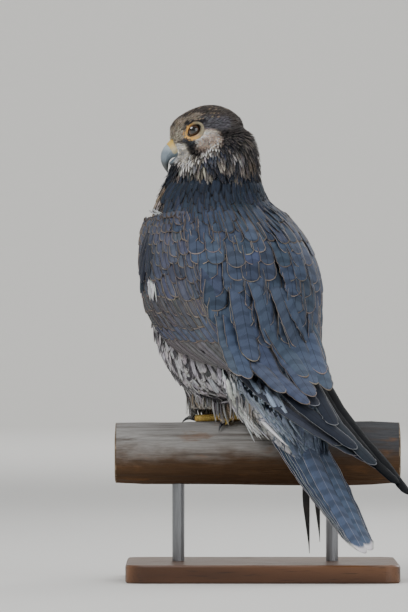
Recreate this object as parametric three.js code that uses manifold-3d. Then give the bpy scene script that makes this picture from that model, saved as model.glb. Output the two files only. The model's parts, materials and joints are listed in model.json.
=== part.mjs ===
// A life-size peregrine falcon that perches on a short cut length of a thick weathered log,
// held up by two rods on a flat display base. Lengths are millimetres and +Z is up.
// The origin is the middle of the underside of the base. The viewer who sees the back of the
// bird stands at -Y, and the log lies along X.
import * as THREE from 'three';
import { mergeVertices } from 'three/addons/utils/BufferGeometryUtils.js';
import Module from 'manifold-3d';

const wasm = await Module();
wasm.setup();

// Driving dimensions
const GAP = 0.3;
const LOG_CLEAR = 3.4;
const BASE = { length: 240, depth: 204, height: 16, corner: 14, bevel: 1.5 };
const LOG = { length: 252, middle: -4, radius: 28.2, height: 111.8, sides: 22, rings: 12 };
const ROD = { radius: 5.5, sides: 14, stations: [-74, 62], sunk: 8 };

// The bird stands over the log and faces away from the viewer, turned to its left
const BIRD = { x: -12, y: 3, heading: 35 };
const TORSO_LEAN = 19.5;
// Sections of the trunk at rising heights: height, middle forward, middle to the left,
// half depth in front, half depth behind, half width
const TRUNK = [
  [154, -5, 2, 15, 17, 22],
  [160, -4, 4, 36, 32, 43],
  [170, -2, 5, 50, 46, 57],
  [188, 5, 6, 61, 55, 66],
  [212, 14, 6, 68, 60, 70],
  [236, 21, 4, 70, 63, 72],
  [262, 27, 1, 70, 65, 72],
  [286, 36, 0, 67, 66, 69],
  [304, 43, 0, 62, 62, 64],
  [320, 49, 1, 56, 55, 58],
  [334, 54, 3, 49, 49, 50],
  [350, 49, 5, 42, 43, 43],
  [368, 45, 5, 38, 41, 39],
  [384, 41, 3, 31, 34, 33],
  [396, 41, 2, 25, 27, 27],
  [405, 42, 2, 14, 16, 15],
];

// The head turns further to the left than the trunk and looks slightly down
const HEAD = { forward: 52.7, left: 10.7, height: 400.5, turn: 63, dip: 22 };
// Sections of the head from nape to bill: place, middle height, half height up, half height
// down, half width
const SKULL = [
  [-33, -7, 4, 5, 5],
  [-29, -6, 10, 12, 12],
  [-20, -3, 16, 18, 19.5],
  [-8, -2, 20.5, 21, 22.5],
  [4, -1, 20.5, 21, 22.5],
  [14, -1, 19.5, 20, 20.5],
  [22, -1, 17.5, 18.5, 17.5],
  [29, -3, 14, 15, 13],
  [33.5, -7, 6.5, 8.5, 8.5],
];
const EYE = { forward: 12, side: 13.2, up: 2, radius: 7 };
const SOCKET = { side: 24.5, radius: 8 };
const LID = { side: 18.6, radius: 5.6, thick: 1.15, flat: 0.86, tilt: -18, splay: 6 };
const BROW = {
  forward: 14, side: 17.6, up: 8.6, long: 9, thick: 3.2, high: 2.4, tilt: 14, splay: -16,
};
const MOUTH = {
  start: 17, end: 36, side: 18.2, up: -14.2, height: 0.9, width: 13.2, slope: 4, splay: -30,
};
// Middle line of the upper bill in the plane of the head, with its half height and half width
const UPPER_BILL = [
  [31, -7.4, 7, 8.4],
  [35, -7.6, 6.9, 7.6],
  [39.5, -9.2, 5.9, 6.2],
  [43.2, -13, 4.3, 4.3],
  [45, -18.2, 2.7, 2.5],
  [45.6, -24.6, 0.4, 0.4],
];
const LOWER_BILL = [
  [29.5, -16.6, 3.2, 7],
  [34, -17.4, 2.9, 6],
  [38.2, -18.2, 2.3, 4.3],
  [41.2, -18.4, 1.2, 2],
];
const NOSTRIL = { forward: 36.2, side: 7.3, up: -5.6, radius: 1.25 };

// Cuts that part the trunk: a point of each and the way that it faces
const NECK_CUT = { forward: 55, height: 338, lean: TORSO_LEAN };
const NAPE_CUT = { forward: -15, up: -21, lean: 4 };

// The tail hangs behind, swung a little to the right
const TAIL = { forward: -30, left: 0, height: 170, slope: 50.5, swing: -10, length: 190 };
const TAIL_CUT = 17;
// Sections of the tail coverts along the tail: place, half width, half height, lift
const RUMP = [
  [-34, 24, 15, 8],
  [0, 38, 19, 10],
  [22, 37, 18, 8],
  [46, 34, 14, 5],
  [72, 30, 8, 2.5],
  [98, 26, 4, 1],
  [112, 21, 2, 0.5],
];

const LEG = { top: 214, bottom: 152, out: 34, forward: 14, spread: { left: 11, right: 0 } };
const TROUSER = [
  [214, 20, 20],
  [200, 29, 27],
  [184, 29, 27],
  [168, 27, 28],
  [156, 25, 26],
  [146, 22, 23],
  [140, 17, 17],
];
// Where each foot stands on the log
const FEET = { left: -27, right: 26 };
const TARSUS = { radius: 5.2, length: 24, sides: 12 };
// Each toe: the way that it points outwards from the heading of the bird, in degrees, its
// length, and its thickness at the root
const TOES = [
  { name: 'outer', way: 43, length: 33, thick: 4.4 },
  { name: 'middle', way: -7, length: 42, thick: 4.7 },
  { name: 'inner', way: -57, length: 28, thick: 4.6 },
  { name: 'hind', way: -237, length: 18, thick: 4.6 },
];
const CLAW = { length: 15, radius: 2.9, bend: 62, raise: 0.72 };

// The room that each toe leaves free for its claw
const CLAW_CUT = [12, 16, 16];

// A leather strap hangs from each ankle over the viewer's side of the log: where it starts and
// hangs along the log, and how low its point ends
const JESS = { width: 6.4, thick: 1.5, taper: 46, lift: 0.6, angle: 0.52 };
const JESSES = {
  left: { start: -18, over: [-6, 10, 28], hangs: 38.5, low: 24 },
  right: { start: 35, over: [39, 43], hangs: 47.6, low: 34 },
};

// Feathers: thickness, drop of each edge below the shaft, and tilt of each over the next
const VANE = { thick: 0.75, camber: 0.35, tilt: 12, rows: 3, seed: 11 };
// Height of a feather over the core at four places from root to tip, as a share of its lift
const VANE_RISE = [0, 0.8, 0.9, 1];
// Places from root to tip where the line of a feather is laid
const PLACES = [0, 0.35, 0.7, 1];
// Half width of a feather along its length
const VANE_WIDTH = [[0, 0.5], [0.3, 0.92], [0.62, 1], [0.86, 0.86], [1, 0.2]];
// The twelve tail feathers from the top down: how far each lies to the left of the middle of
// the tail at its root, half way along and at its tip
const TAIL_ASIDES = [
  [8, -7, -7], [17, 12, 1], [-10, -13, -5], [20, 17, 4], [-14, -15, -5], [21, 18, 4],
  [-17, -16.5, -5], [22, 18.5, 4], [-20, -18, -5], [23, 19, 4], [-22, -19, -5], [24, 19.5, 4],
];
const TAIL_FEATHERS = {
  root: 26, half: 11, level: 0.45, top: 5.2, shorter: 12, step: 3, droop: 4, wide: 30,
};
const TAIL_COVERTS = {
  perSide: 2, root: 34, tip: 104, half: 11, lift: 3.4, turn: 30, shorter: 7, sunk: 2.5,
};

const COLOURS = {
  slate: 0x4d5560,
  tail: 0x6c7786,
  breast: 0xb9ac9a,
  head: 0x4c4844,
  bill: 0x8793a0,
  eye: 0x120d0a,
  foot: 0xd79b2c,
  claw: 0x17181b,
  leather: 0x15151a,
  wood: 0x8a7f72,
  base: 0x5c4633,
  metal: 0x8d8f92,
};

const rad = THREE.MathUtils.degToRad;
const v3 = (x, y, z) => new THREE.Vector3(x, y, z);

function material(colour, roughness, metalness = 0) {
  return new THREE.MeshStandardMaterial({ color: colour, roughness, metalness });
}

// A value for every place along a list of sections, smooth between them
function along(rows) {
  const places = rows.map((row) => row[0]);
  const width = rows[0].length - 1;
  const values = rows.flatMap((row) => row.slice(1));
  const curve = new THREE.CubicInterpolant(places, values, width);
  return (place) => {
    const clamped = THREE.MathUtils.clamp(place, places[0], places[places.length - 1]);
    return Array.from(curve.evaluate(clamped));
  };
}

// A closed form whose rings are laid by place(step, angle), with a flat pole at either end
function swept(sides, rings, place) {
  const form = new THREE.SphereGeometry(1, sides, rings);
  const position = form.attributes.position;
  const point = v3(0, 0, 0);
  for (let i = 0; i < position.count; i += 1) {
    point.fromBufferAttribute(position, i);
    const ring = Math.round((Math.acos(THREE.MathUtils.clamp(point.y, -1, 1)) / Math.PI) * rings);
    const step = THREE.MathUtils.clamp((ring - 1) / (rings - 2), 0, 1);
    const pole = ring === 0 || ring === rings;
    const laid = place(step, Math.atan2(point.z, point.x), pole ? 0 : 1);
    position.setXYZ(i, laid.x, laid.y, laid.z);
  }
  return form;
}

function signedVolume(geometry) {
  const position = geometry.attributes.position;
  const index = geometry.index;
  const a = v3(0, 0, 0);
  const b = v3(0, 0, 0);
  const c = v3(0, 0, 0);
  let volume = 0;
  for (let i = 0; i < index.count; i += 3) {
    a.fromBufferAttribute(position, index.getX(i));
    b.fromBufferAttribute(position, index.getX(i + 1));
    c.fromBufferAttribute(position, index.getX(i + 2));
    volume += a.dot(b.cross(c)) / 6;
  }
  return volume;
}

function solid(geometry) {
  const bare = new THREE.BufferGeometry();
  bare.setAttribute('position', geometry.attributes.position.clone());
  if (geometry.index) bare.setIndex(geometry.index.clone());
  const merged = mergeVertices(bare, 1e-4);
  const triangles = Array.from(merged.index.array);
  if (signedVolume(merged) < 0) triangles.reverse();
  const kept = [];
  for (let i = 0; i < triangles.length; i += 3) {
    const [a, b, c] = triangles.slice(i, i + 3);
    if (a !== b && b !== c && c !== a) kept.push(a, b, c);
  }
  return new wasm.Manifold(new wasm.Mesh({
    numProp: 3,
    vertProperties: Float32Array.from(merged.attributes.position.array),
    triVerts: Uint32Array.from(kept),
  }));
}

function largest(body) {
  const pieces = body.decompose();
  return pieces.reduce((best, piece) => (piece.volume() > best.volume() ? piece : best));
}

function geometryOf(body) {
  const mesh = largest(body).getMesh();
  const points = [];
  for (let i = 0; i < mesh.vertProperties.length; i += mesh.numProp) {
    points.push(...mesh.vertProperties.slice(i, i + 3));
  }
  const geometry = new THREE.BufferGeometry();
  geometry.setAttribute('position', new THREE.Float32BufferAttribute(points, 3));
  geometry.setIndex(Array.from(mesh.triVerts));
  geometry.computeVertexNormals();
  return geometry;
}

function joined(solids) {
  return solids.reduce((sum, piece) => sum.add(piece));
}

function node(group, name, body, finish) {
  const mesh = new THREE.Mesh(geometryOf(body), finish);
  mesh.name = name;
  group.add(mesh);
  return mesh;
}

// The two sides of a thin cut through a solid
function parted(body, point, facing) {
  const n = [facing.x, facing.y, facing.z];
  const back = [-facing.x, -facing.y, -facing.z];
  const at = facing.dot(point);
  return [
    body.trimByPlane(n, at + GAP / 2),
    body.trimByPlane(back, -at + GAP / 2),
  ];
}

// A closed slab between two like surfaces: place(u, v, face) with u along, v across
function slab(rows, columns, place) {
  const grid = new THREE.PlaneGeometry(1, 1, columns, rows);
  const uv = grid.attributes.uv;
  const count = uv.count;
  const points = [];
  for (let face = 0; face < 2; face += 1) {
    for (let i = 0; i < count; i += 1) {
      const laid = place(1 - uv.getY(i), uv.getX(i), face);
      points.push(laid.x, laid.y, laid.z);
    }
  }
  const under = Array.from(grid.index.array);
  const triangles = [];
  for (let i = 0; i < under.length; i += 3) {
    const [a, b, c] = under.slice(i, i + 3);
    triangles.push(a, c, b, a + count, b + count, c + count);
  }
  const wide = columns + 1;
  const rim = [];
  for (let j = 0; j <= columns; j += 1) rim.push(j);
  for (let i = 1; i <= rows; i += 1) rim.push(i * wide + columns);
  for (let j = columns - 1; j >= 0; j -= 1) rim.push(rows * wide + j);
  for (let i = rows - 1; i >= 1; i -= 1) rim.push(i * wide);
  for (let k = 0; k < rim.length; k += 1) {
    const a = rim[k];
    const b = rim[(k + 1) % rim.length];
    triangles.push(a, b + count, b, a, a + count, b + count);
  }
  const geometry = new THREE.BufferGeometry();
  geometry.setAttribute('position', new THREE.Float32BufferAttribute(points, 3));
  geometry.setIndex(triangles);
  return geometry;
}

// A tube of oval section along a curved line of rows: x, z, half height, half width
function curvedCone(rows, sides, rings, lift = 0) {
  const centre = new THREE.CatmullRomCurve3(rows.map((row) => v3(row[0], 0, row[1])));
  const size = along(rows.map((row, i) => [i / (rows.length - 1), row[2], row[3]]));
  return swept(sides, rings, (step, angle, open) => {
    const middle = centre.getPoint(step);
    const ahead = centre.getTangent(step);
    const up = v3(-ahead.z, 0, ahead.x);
    const [high, wide] = size(step).map((value) => (value + lift) * open);
    if (step === 0) middle.addScaledVector(ahead, -lift);
    return middle
      .addScaledVector(up, high * Math.sin(angle))
      .add(v3(0, wide * Math.cos(angle), 0));
  });
}

// Log, rods and base
function logRadius(x, angle) {
  const run = x - LOG.middle;
  return LOG.radius
    + 0.7 * Math.sin(2 * angle + run / 37)
    + 0.5 * Math.sin(3 * angle - run / 23 + 1)
    + 0.5 * Math.sin(run / 31 + 2)
    - 0.6 * Math.exp(-(((run - 40) / 26) ** 2));
}

// angle 0 is the top of the log, and it grows towards the viewer
function logPoint(x, angle, lift) {
  const r = logRadius(x, angle) + lift;
  return v3(x, -r * Math.sin(angle), LOG.height + r * Math.cos(angle));
}

function logForm(lift) {
  return swept(LOG.sides, LOG.rings, (step, angle, open) => {
    const x = LOG.middle + (step - 0.5) * (LOG.length + 2 * lift);
    const rounding = 1 - 0.05 * Math.max(0, Math.abs(step - 0.5) * 2 - 0.93) / 0.07;
    const r = logRadius(x, angle) * rounding + lift;
    return v3(x, -open * r * Math.sin(angle), LOG.height + open * r * Math.cos(angle));
  });
}

function baseForm() {
  const x = BASE.length / 2 - BASE.bevel;
  const y = BASE.depth / 2 - BASE.bevel;
  const r = BASE.corner;
  const outline = new THREE.Shape();
  outline.absarc(x - r, y - r, r, 0, Math.PI / 2);
  outline.absarc(-x + r, y - r, r, Math.PI / 2, Math.PI);
  outline.absarc(-x + r, -y + r, r, Math.PI, 1.5 * Math.PI);
  outline.absarc(x - r, -y + r, r, 1.5 * Math.PI, 2 * Math.PI);
  const form = new THREE.ExtrudeGeometry(outline, {
    depth: BASE.height - 2 * BASE.bevel,
    bevelSize: BASE.bevel,
    bevelThickness: BASE.bevel,
    bevelSegments: 1,
    curveSegments: 5,
  });
  form.translate(0, 0, BASE.bevel);
  return form;
}

function buildStand(scene, logAround) {
  node(scene, 'stand_base', solid(baseForm()), material(COLOURS.base, 0.5));
  const low = BASE.height + GAP;
  const high = LOG.height - LOG.radius + ROD.sunk;
  ROD.stations.forEach((x, i) => {
    const form = new THREE.CylinderGeometry(ROD.radius, ROD.radius, high - low, ROD.sides);
    form.rotateX(Math.PI / 2);
    form.translate(x, 0, (low + high) / 2);
    const name = i === 0 ? 'stand_rod_left' : 'stand_rod_right';
    node(scene, name, solid(form).subtract(logAround), material(COLOURS.metal, 0.35, 0.9));
  });
}

// Trunk, head and bill, in the frame of the bird: x forward, y left, z up
const trunkSection = along(TRUNK);

function trunkPoint(height, angle, lift) {
  const [forward, left, front, back, half] = trunkSection(height);
  const c = Math.cos(angle);
  const deep = (c > 0 ? back : front) + lift;
  return v3(forward - deep * c, left + (half + lift) * Math.sin(angle), height);
}

function trunkForm(sides, rings, lift) {
  const low = TRUNK[0][0];
  const high = TRUNK[TRUNK.length - 1][0];
  return swept(sides, rings, (step, angle, open) => {
    const height = low + (high - low) * step;
    const outer = trunkPoint(height, angle, lift);
    const [forward, left] = trunkSection(height);
    const middle = v3(forward, left, height + (step < 0.5 ? -1 : 1) * (1 - open) * (3 + lift));
    return open ? outer : middle;
  });
}

function headMatrix() {
  const turn = new THREE.Matrix4().makeRotationZ(rad(HEAD.turn));
  const dip = new THREE.Matrix4().makeRotationY(rad(HEAD.dip));
  const place = new THREE.Matrix4().makeTranslation(HEAD.forward, HEAD.left, HEAD.height);
  return place.multiply(turn).multiply(dip);
}

function inHead(geometry) {
  return solid(geometry.applyMatrix4(headMatrix()));
}

function skullForm() {
  const section = along(SKULL);
  const first = SKULL[0][0];
  const last = SKULL[SKULL.length - 1][0];
  return swept(24, 14, (step, angle, open) => {
    const x = first + (last - first) * step;
    const [middle, up, down, half] = section(x);
    const s = Math.sin(angle);
    const high = s > 0 ? up : down;
    return v3(x, open * half * Math.cos(angle), middle + open * high * s);
  });
}

function ball(radius, x, y, z, sides = 14, rings = 8) {
  const form = new THREE.SphereGeometry(radius, sides, rings);
  form.rotateX(y > 0 ? Math.PI / 2 : -Math.PI / 2);
  return form.translate(x, y, z);
}

function lidForm(side) {
  const ring = new THREE.TorusGeometry(LID.radius, LID.thick, 6, 16);
  ring.scale(1, LID.flat, 1);
  ring.rotateX(Math.PI / 2);
  ring.rotateY(rad(LID.tilt));
  ring.rotateZ(side * rad(LID.splay));
  return ring.translate(EYE.forward, side * LID.side, EYE.up);
}

function browForm(side) {
  const ridge = new THREE.SphereGeometry(1, 10, 6);
  ridge.scale(BROW.long, BROW.thick, BROW.high);
  ridge.rotateY(rad(BROW.tilt));
  ridge.rotateZ(side * rad(BROW.splay));
  return ridge.translate(BROW.forward, side * BROW.side, BROW.up);
}

function mouthForm(side) {
  const length = MOUTH.end - MOUTH.start;
  const slit = new THREE.BoxGeometry(length, MOUTH.width, MOUTH.height);
  slit.rotateY(rad(MOUTH.slope));
  slit.rotateZ(side * rad(MOUTH.splay));
  return slit.translate((MOUTH.start + MOUTH.end) / 2, side * MOUTH.side, MOUTH.up);
}

function buildHead(bird, trunk) {
  const eyes = [1, -1].map((side) => ({
    side,
    ball: ball(EYE.radius, EYE.forward, side * EYE.side, EYE.up),
    clear: ball(EYE.radius + GAP, EYE.forward, side * EYE.side, EYE.up),
  }));
  let head = inHead(skullForm());
  eyes.forEach(({ side }) => {
    head = head.add(inHead(browForm(side)));
    head = head.subtract(inHead(ball(SOCKET.radius, EYE.forward, side * SOCKET.side, EYE.up)));
    head = head.add(inHead(lidForm(side)));
    head = head.subtract(inHead(mouthForm(side)));
  });
  let whole = trunk.add(head);
  eyes.forEach(({ clear }) => {
    whole = whole.subtract(inHead(clear));
  });
  const upper = inHead(curvedCone(UPPER_BILL, 12, 11));
  const upperClear = inHead(curvedCone(UPPER_BILL, 12, 11, GAP));
  const lower = inHead(curvedCone(LOWER_BILL, 12, 6));
  const lowerClear = inHead(curvedCone(LOWER_BILL, 12, 6, GAP));
  const nostrils = [1, -1].map((side) => inHead(
    ball(NOSTRIL.radius, NOSTRIL.forward, side * NOSTRIL.side, NOSTRIL.up, 10, 6)));
  whole = whole.subtract(upperClear).subtract(lowerClear);

  const horn = material(COLOURS.bill, 0.4);
  node(bird, 'bill_upper', upper.subtract(joined(nostrils)), horn);
  node(bird, 'bill_lower', lower.subtract(upperClear), horn);
  eyes.forEach(({ side, ball: form }) => {
    node(bird, side > 0 ? 'eye_left' : 'eye_right', inHead(form), material(COLOURS.eye, 0.1));
  });
  return whole;
}

// A feather along a line of points. Facings are the ways that its upper side faces from root to
// tip, and left and right are its half widths as seen from above with the tip ahead.
function vane(points, facings, widths, tilt) {
  const line = new THREE.CatmullRomCurve3(points);
  const width = along(VANE_WIDTH);
  const slope = Math.tan(rad(tilt));
  return solid(slab(VANE.rows, 2, (u, v, face) => {
    const facing = facings[0].clone().lerp(facings[1], u).normalize();
    const across = facing.clone().cross(line.getTangent(u)).normalize();
    const side = (v - 0.5) * 2;
    const reach = side * (side > 0 ? widths.left : widths.right) * width(u)[0];
    const thick = VANE.thick * THREE.MathUtils.lerp(1, 0.75, u);
    return line.getPoint(u)
      .addScaledVector(across, reach)
      .addScaledVector(facing, reach * slope - VANE.camber * side ** 2 + (face ? thick : 0));
  }));
}

// The tail, in a frame of its own: x along the tail from its root, y left, z up off its back
function tailMatrix() {
  const place = new THREE.Matrix4().makeTranslation(TAIL.forward, TAIL.left, TAIL.height);
  const swing = new THREE.Matrix4().makeRotationZ(rad(180 + -TAIL.swing));
  const slope = new THREE.Matrix4().makeRotationY(rad(TAIL.slope));
  return place.multiply(swing).multiply(slope);
}

function inTail(geometry) {
  return solid(geometry.applyMatrix4(tailMatrix()));
}

function rumpForm(lift) {
  const section = along(RUMP);
  const first = RUMP[0][0] - lift;
  const last = RUMP[RUMP.length - 1][0] + lift;
  return swept(20, 12, (step, angle, open) => {
    const x = first + (last - first) * step;
    const [wide, high, middle] = section(x);
    return v3(
      x,
      open * (wide + lift) * Math.cos(angle),
      middle + open * (high + lift) * Math.sin(angle),
    );
  });
}

// Each tail feather lies under the one before it, and the lower ones are a little shorter
function tailFeathers() {
  const { root, half, level, top, shorter, step, droop, wide } = TAIL_FEATHERS;
  const last = TAIL_ASIDES.length - 1;
  const up = v3(0, 0, 1);
  return joined(TAIL_ASIDES.map((asides, i) => {
    const aside = new THREE.SplineCurve(asides.map((y, k) => new THREE.Vector2(k / 2, y)));
    const end = TAIL.length - shorter * (i / last) ** 1.6 - step * (i % 2);
    const points = PLACES.map((u) => {
      const { y } = aside.getPoint(u);
      const height = top - level * i - droop * (y / wide) ** 2;
      return v3(THREE.MathUtils.lerp(root, end, u), y, height);
    });
    return vane(points, [up, up], { left: half, right: half }, 0);
  }));
}

function tailCoverts() {
  const { perSide, root, tip, half, lift, turn, shorter, sunk } = TAIL_COVERTS;
  const section = along(RUMP);
  const feathers = [];
  for (let i = -perSide; i <= perSide; i += 1) {
    const angle = rad(90 - i * turn);
    const end = tip - Math.abs(i) * shorter;
    const points = PLACES.map((u) => {
      const x = THREE.MathUtils.lerp(root, end, u);
      const [wide, high, middle] = section(x);
      const above = THREE.MathUtils.lerp(-sunk, lift, u ** 0.6);
      return v3(x, (wide + above) * Math.cos(angle), middle + (high + above) * Math.sin(angle));
    });
    const out = v3(0, Math.cos(angle), Math.sin(angle));
    const tilt = i === 0 ? 0 : Math.sign(i) * VANE.tilt;
    feathers.push(vane(points, [out, v3(0, 0, 1)], { left: half, right: half }, tilt));
  }
  return joined(feathers);
}

function buildBody(bird, clear) {
  const trunk = solid(trunkForm(30, 22, 0));
  const rump = inTail(rumpForm(0));
  const whole = buildHead(bird, trunk.add(rump));

  const neckFacing = v3(Math.sin(rad(NECK_CUT.lean)), 0, Math.cos(rad(NECK_CUT.lean)));
  const neckPoint = v3(NECK_CUT.forward, 0, NECK_CUT.height);
  const [above, below] = parted(whole, neckPoint, neckFacing);

  const turned = headMatrix();
  const napePoint = v3(NAPE_CUT.forward, 0, NAPE_CUT.up).applyMatrix4(turned);
  const napeFacing = v3(Math.sin(rad(NAPE_CUT.lean)), 0, Math.cos(rad(NAPE_CUT.lean)))
    .transformDirection(turned);
  const [head, neck] = parted(above, napePoint, napeFacing);

  const tailTurned = tailMatrix();
  const tailPoint = v3(TAIL_CUT, 0, 0).applyMatrix4(tailTurned);
  const tailFacing = v3(1, 0, 0).transformDirection(tailTurned);
  const [tailRoot, torso] = parted(below, tailPoint, tailFacing);

  node(bird, 'head', head, material(COLOURS.head, 0.85));
  node(bird, 'neck', neck, material(COLOURS.slate, 0.85));
  node(bird, 'torso', torso, material(COLOURS.breast, 0.85));
  const tail = tailRoot.add(tailFeathers().add(tailCoverts()).transform(tailTurned.elements));
  node(bird, 'tail', tail.subtract(clear), material(COLOURS.tail, 0.7));
}

// Wings. A place on the trunk is a height and an angle from the middle of the back,
// in degrees towards the side of the wing. The primaries of a folded wing lie in a bundle:
// each has a half width and four places on its line, the lowest and longest feather first.
const WINGS = {
  left: {
    side: 1,
    low: [[316, 108], [296, 132], [262, 124], [222, 92], [200, 68], [184, 44]],
    high: [[330, 34], [304, 8], [262, 3], [222, 3], [200, 3], [182, 5]],
    primaries: [
      { half: 7.6, line: [[-30.8, 50.1, 202.8], [-80.2, 25.1, 158.5], [-113.5, -15.1, 126.1],
        [-141.6, -45.1, 97.5]] },
      { half: 8, line: [[-33.5, 49.9, 201], [-82.2, 25.9, 157.5], [-113, -9.4, 127.3],
        [-135.5, -36.4, 104.5]] },
      { half: 8.4, line: [[-36.2, 49.6, 199.2], [-83.4, 28.4, 157.3], [-110.9, -1.4, 130.3],
        [-129.5, -25.5, 111.6]] },
      { half: 8.6, line: [[-38, 50.9, 198.3], [-80.9, 34.2, 160.8], [-105.3, 9, 136.9],
        [-121.7, -13.7, 120.5]] },
    ],
  },
  right: {
    side: -1,
    low: [[316, 108], [296, 132], [262, 124], [222, 92], [200, 68], [184, 44]],
    high: [[330, 34], [304, 8], [262, 3], [222, 3], [200, 3], [182, 5]],
    primaries: [
      { half: 6.8, line: [[-32.6, -41.5, 202.8], [-109, -38.5, 133.2], [-148.8, -48.7, 95.7],
        [-168.1, -50.9, 77.5]] },
      { half: 7.2, line: [[-34.1, -35.1, 202.8], [-111.6, -29, 132.1], [-147.3, -40.6, 98.3],
        [-159.8, -46.5, 86.8]] },
      { half: 8.6, line: [[-56.3, -22.7, 183.3], [-104.7, -19.2, 139.8], [-129.3, -25.6, 117.9],
        [-144.8, -33.2, 103.2]] },
      { half: 9.2, line: [[-54.7, 23.6, 188.6], [-95.5, 8.6, 152.3], [-116, -7.6, 133.7],
        [-132.8, -22.1, 116.9]] },
      { half: 9.8, line: [[-41.4, -22.4, 201], [-75.2, -14.6, 173.7], [-98.2, -12.2, 152.1],
        [-113.9, -11.6, 137.3]] },
      { half: 9.4, line: [[-43.2, -8.2, 201], [-69.2, -2, 181.2], [-86.2, -1.8, 165.2],
        [-98, -3.3, 154.1]] },
    ],
  },
};
const WING_THICK = { middle: 5.4, edge: 1.8 };
// Tiers of wing feathers. A place of the wing is given along it and across it, from its lower
// edge to the middle of the back.
const WING_TIERS = [
  {
    name: 'secondaries', count: 5, half: 8.5, lift: 2.4, step: 0.55,
    roots: [[0.4, 0.08], [0.46, 0.52]], tips: [[0.84, 0.07], [0.98, 0.52]],
  },
  {
    name: 'tertials', count: 3, half: 11, lift: 5.2, step: 0.5,
    roots: [[0.46, 0.6], [0.5, 0.84]], tips: [[0.95, 0.56], [0.98, 0.84]],
  },
  {
    name: 'greater coverts', count: 5, half: 9, lift: 5, step: 0.15,
    roots: [[0.22, 0.1], [0.3, 0.56]], tips: [[0.52, 0.08], [0.64, 0.52]],
  },
  {
    name: 'scapulars', count: 3, half: 12, lift: 6.6, step: 0.3,
    roots: [[0.26, 0.66], [0.3, 0.9]], tips: [[0.68, 0.63], [0.72, 0.88]],
  },
];
// The way that the free parts of the folded wings face
const WING_NORMAL = [-0.693, -0.032, 0.72];

function wingPlace(wing, u, v, lift) {
  const edge = (list) => {
    const curve = new THREE.SplineCurve(list.map(([h, a]) => new THREE.Vector2(h, a)));
    return curve.getPoint(u);
  };
  const low = edge(wing.low);
  const high = edge(wing.high);
  const spot = low.lerp(high, v);
  return trunkPoint(spot.x, wing.side * rad(spot.y), lift);
}

function coreThick(u, v) {
  const bulge = Math.sin(Math.PI * THREE.MathUtils.clamp(v, 0, 1)) ** 0.6;
  const ends = Math.sin(Math.PI * (0.12 + 0.8 * u)) ** 0.5;
  return WING_THICK.edge + WING_THICK.middle * bulge * ends;
}

function wingCore(wing) {
  return slab(6, 5, (u, v, face) => wingPlace(wing, u, v, face ? coreThick(u, v) : -2.5));
}

// Each primary lies a little over the one before it, all facing the same way
function primaries(wing) {
  const normal = v3(...WING_NORMAL);
  return joined(wing.primaries.map(({ half, line }) => (
    vane(line.map((place) => v3(...place)), [normal, normal], { left: half, right: half }, 0))));
}

// A tier of feathers on a wing: its roots and its tips each run between two places of the wing
function wingTier(wing, tier) {
  const places = [0, 0.34, 0.67, 1];
  return joined(Array.from({ length: tier.count }, (unused, i) => {
    const t = i / (tier.count - 1);
    const root = new THREE.Vector2(...tier.roots[0]).lerp(new THREE.Vector2(...tier.roots[1]), t);
    const tip = new THREE.Vector2(...tier.tips[0]).lerp(new THREE.Vector2(...tier.tips[1]), t);
    tip.x += 0.012 * (THREE.MathUtils.seededRandom() - 0.5) * (tip.x < 0.97 ? 1 : 0);
    const spots = places.map((u) => root.clone().lerp(tip, u));
    const points = spots.map((spot, k) => {
      const above = k === 0 ? -2.6 : (tier.lift + tier.step * i) * VANE_RISE[k];
      return wingPlace(wing, spot.x, spot.y, coreThick(spot.x, spot.y) + above);
    });
    const facings = [spots[0], spots[3]].map((spot) => {
      const inside = wingPlace(wing, spot.x, spot.y, 0);
      return wingPlace(wing, spot.x, spot.y, 1).sub(inside).normalize();
    });
    const widths = { left: tier.half, right: tier.half };
    return vane(points, facings, widths, -wing.side * VANE.tilt);
  }));
}

function buildWings(bird, trunkAround) {
  THREE.MathUtils.seededRandom(VANE.seed);
  Object.entries(WINGS).forEach(([name, wing]) => {
    const tiers = WING_TIERS.map((tier) => wingTier(wing, tier));
    const form = joined([solid(wingCore(wing)), primaries(wing), ...tiers]);
    node(bird, `wing_${name}`, form.subtract(trunkAround), material(COLOURS.slate, 0.75));
  });
}

// Legs and feet
function birdMatrix() {
  const place = new THREE.Matrix4().makeTranslation(BIRD.x, BIRD.y, 0);
  return place.multiply(new THREE.Matrix4().makeRotationZ(rad(90 + BIRD.heading)));
}

function toBird(point) {
  return point.clone().applyMatrix4(birdMatrix().invert());
}

function trouserForm(side, foot) {
  const section = along(TROUSER.map(([h, deep, wide]) => [-h, deep, wide]));
  const top = v3(LEG.forward, side * LEG.out, LEG.top);
  const spread = side > 0 ? LEG.spread.left : LEG.spread.right;
  const low = toBird(v3(foot - side * spread, 0, LEG.bottom));
  return swept(20, 12, (step, angle, open) => {
    const height = TROUSER[0][0] + (TROUSER[TROUSER.length - 1][0] - TROUSER[0][0]) * step;
    const [deep, wide] = section(-height);
    const blend = THREE.MathUtils.clamp((LEG.top - height) / (LEG.top - LEG.bottom), 0, 1.1);
    const middle = top.clone().lerp(low, blend);
    return v3(
      middle.x + open * deep * Math.cos(angle),
      middle.y + open * wide * Math.sin(angle),
      height,
    );
  });
}

// The middle line of a toe on the log, from the foot to the root of the claw
function toeLine(side, toe) {
  const foot = side > 0 ? FEET.left : FEET.right;
  const way = rad(90 - BIRD.heading - side * toe.way);
  return (s, lift) => {
    const x = foot - Math.cos(way) * toe.length * s;
    const arc = -Math.sin(way) * toe.length * s;
    return logPoint(x, arc / (LOG.radius + toe.thick), lift);
  };
}

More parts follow.
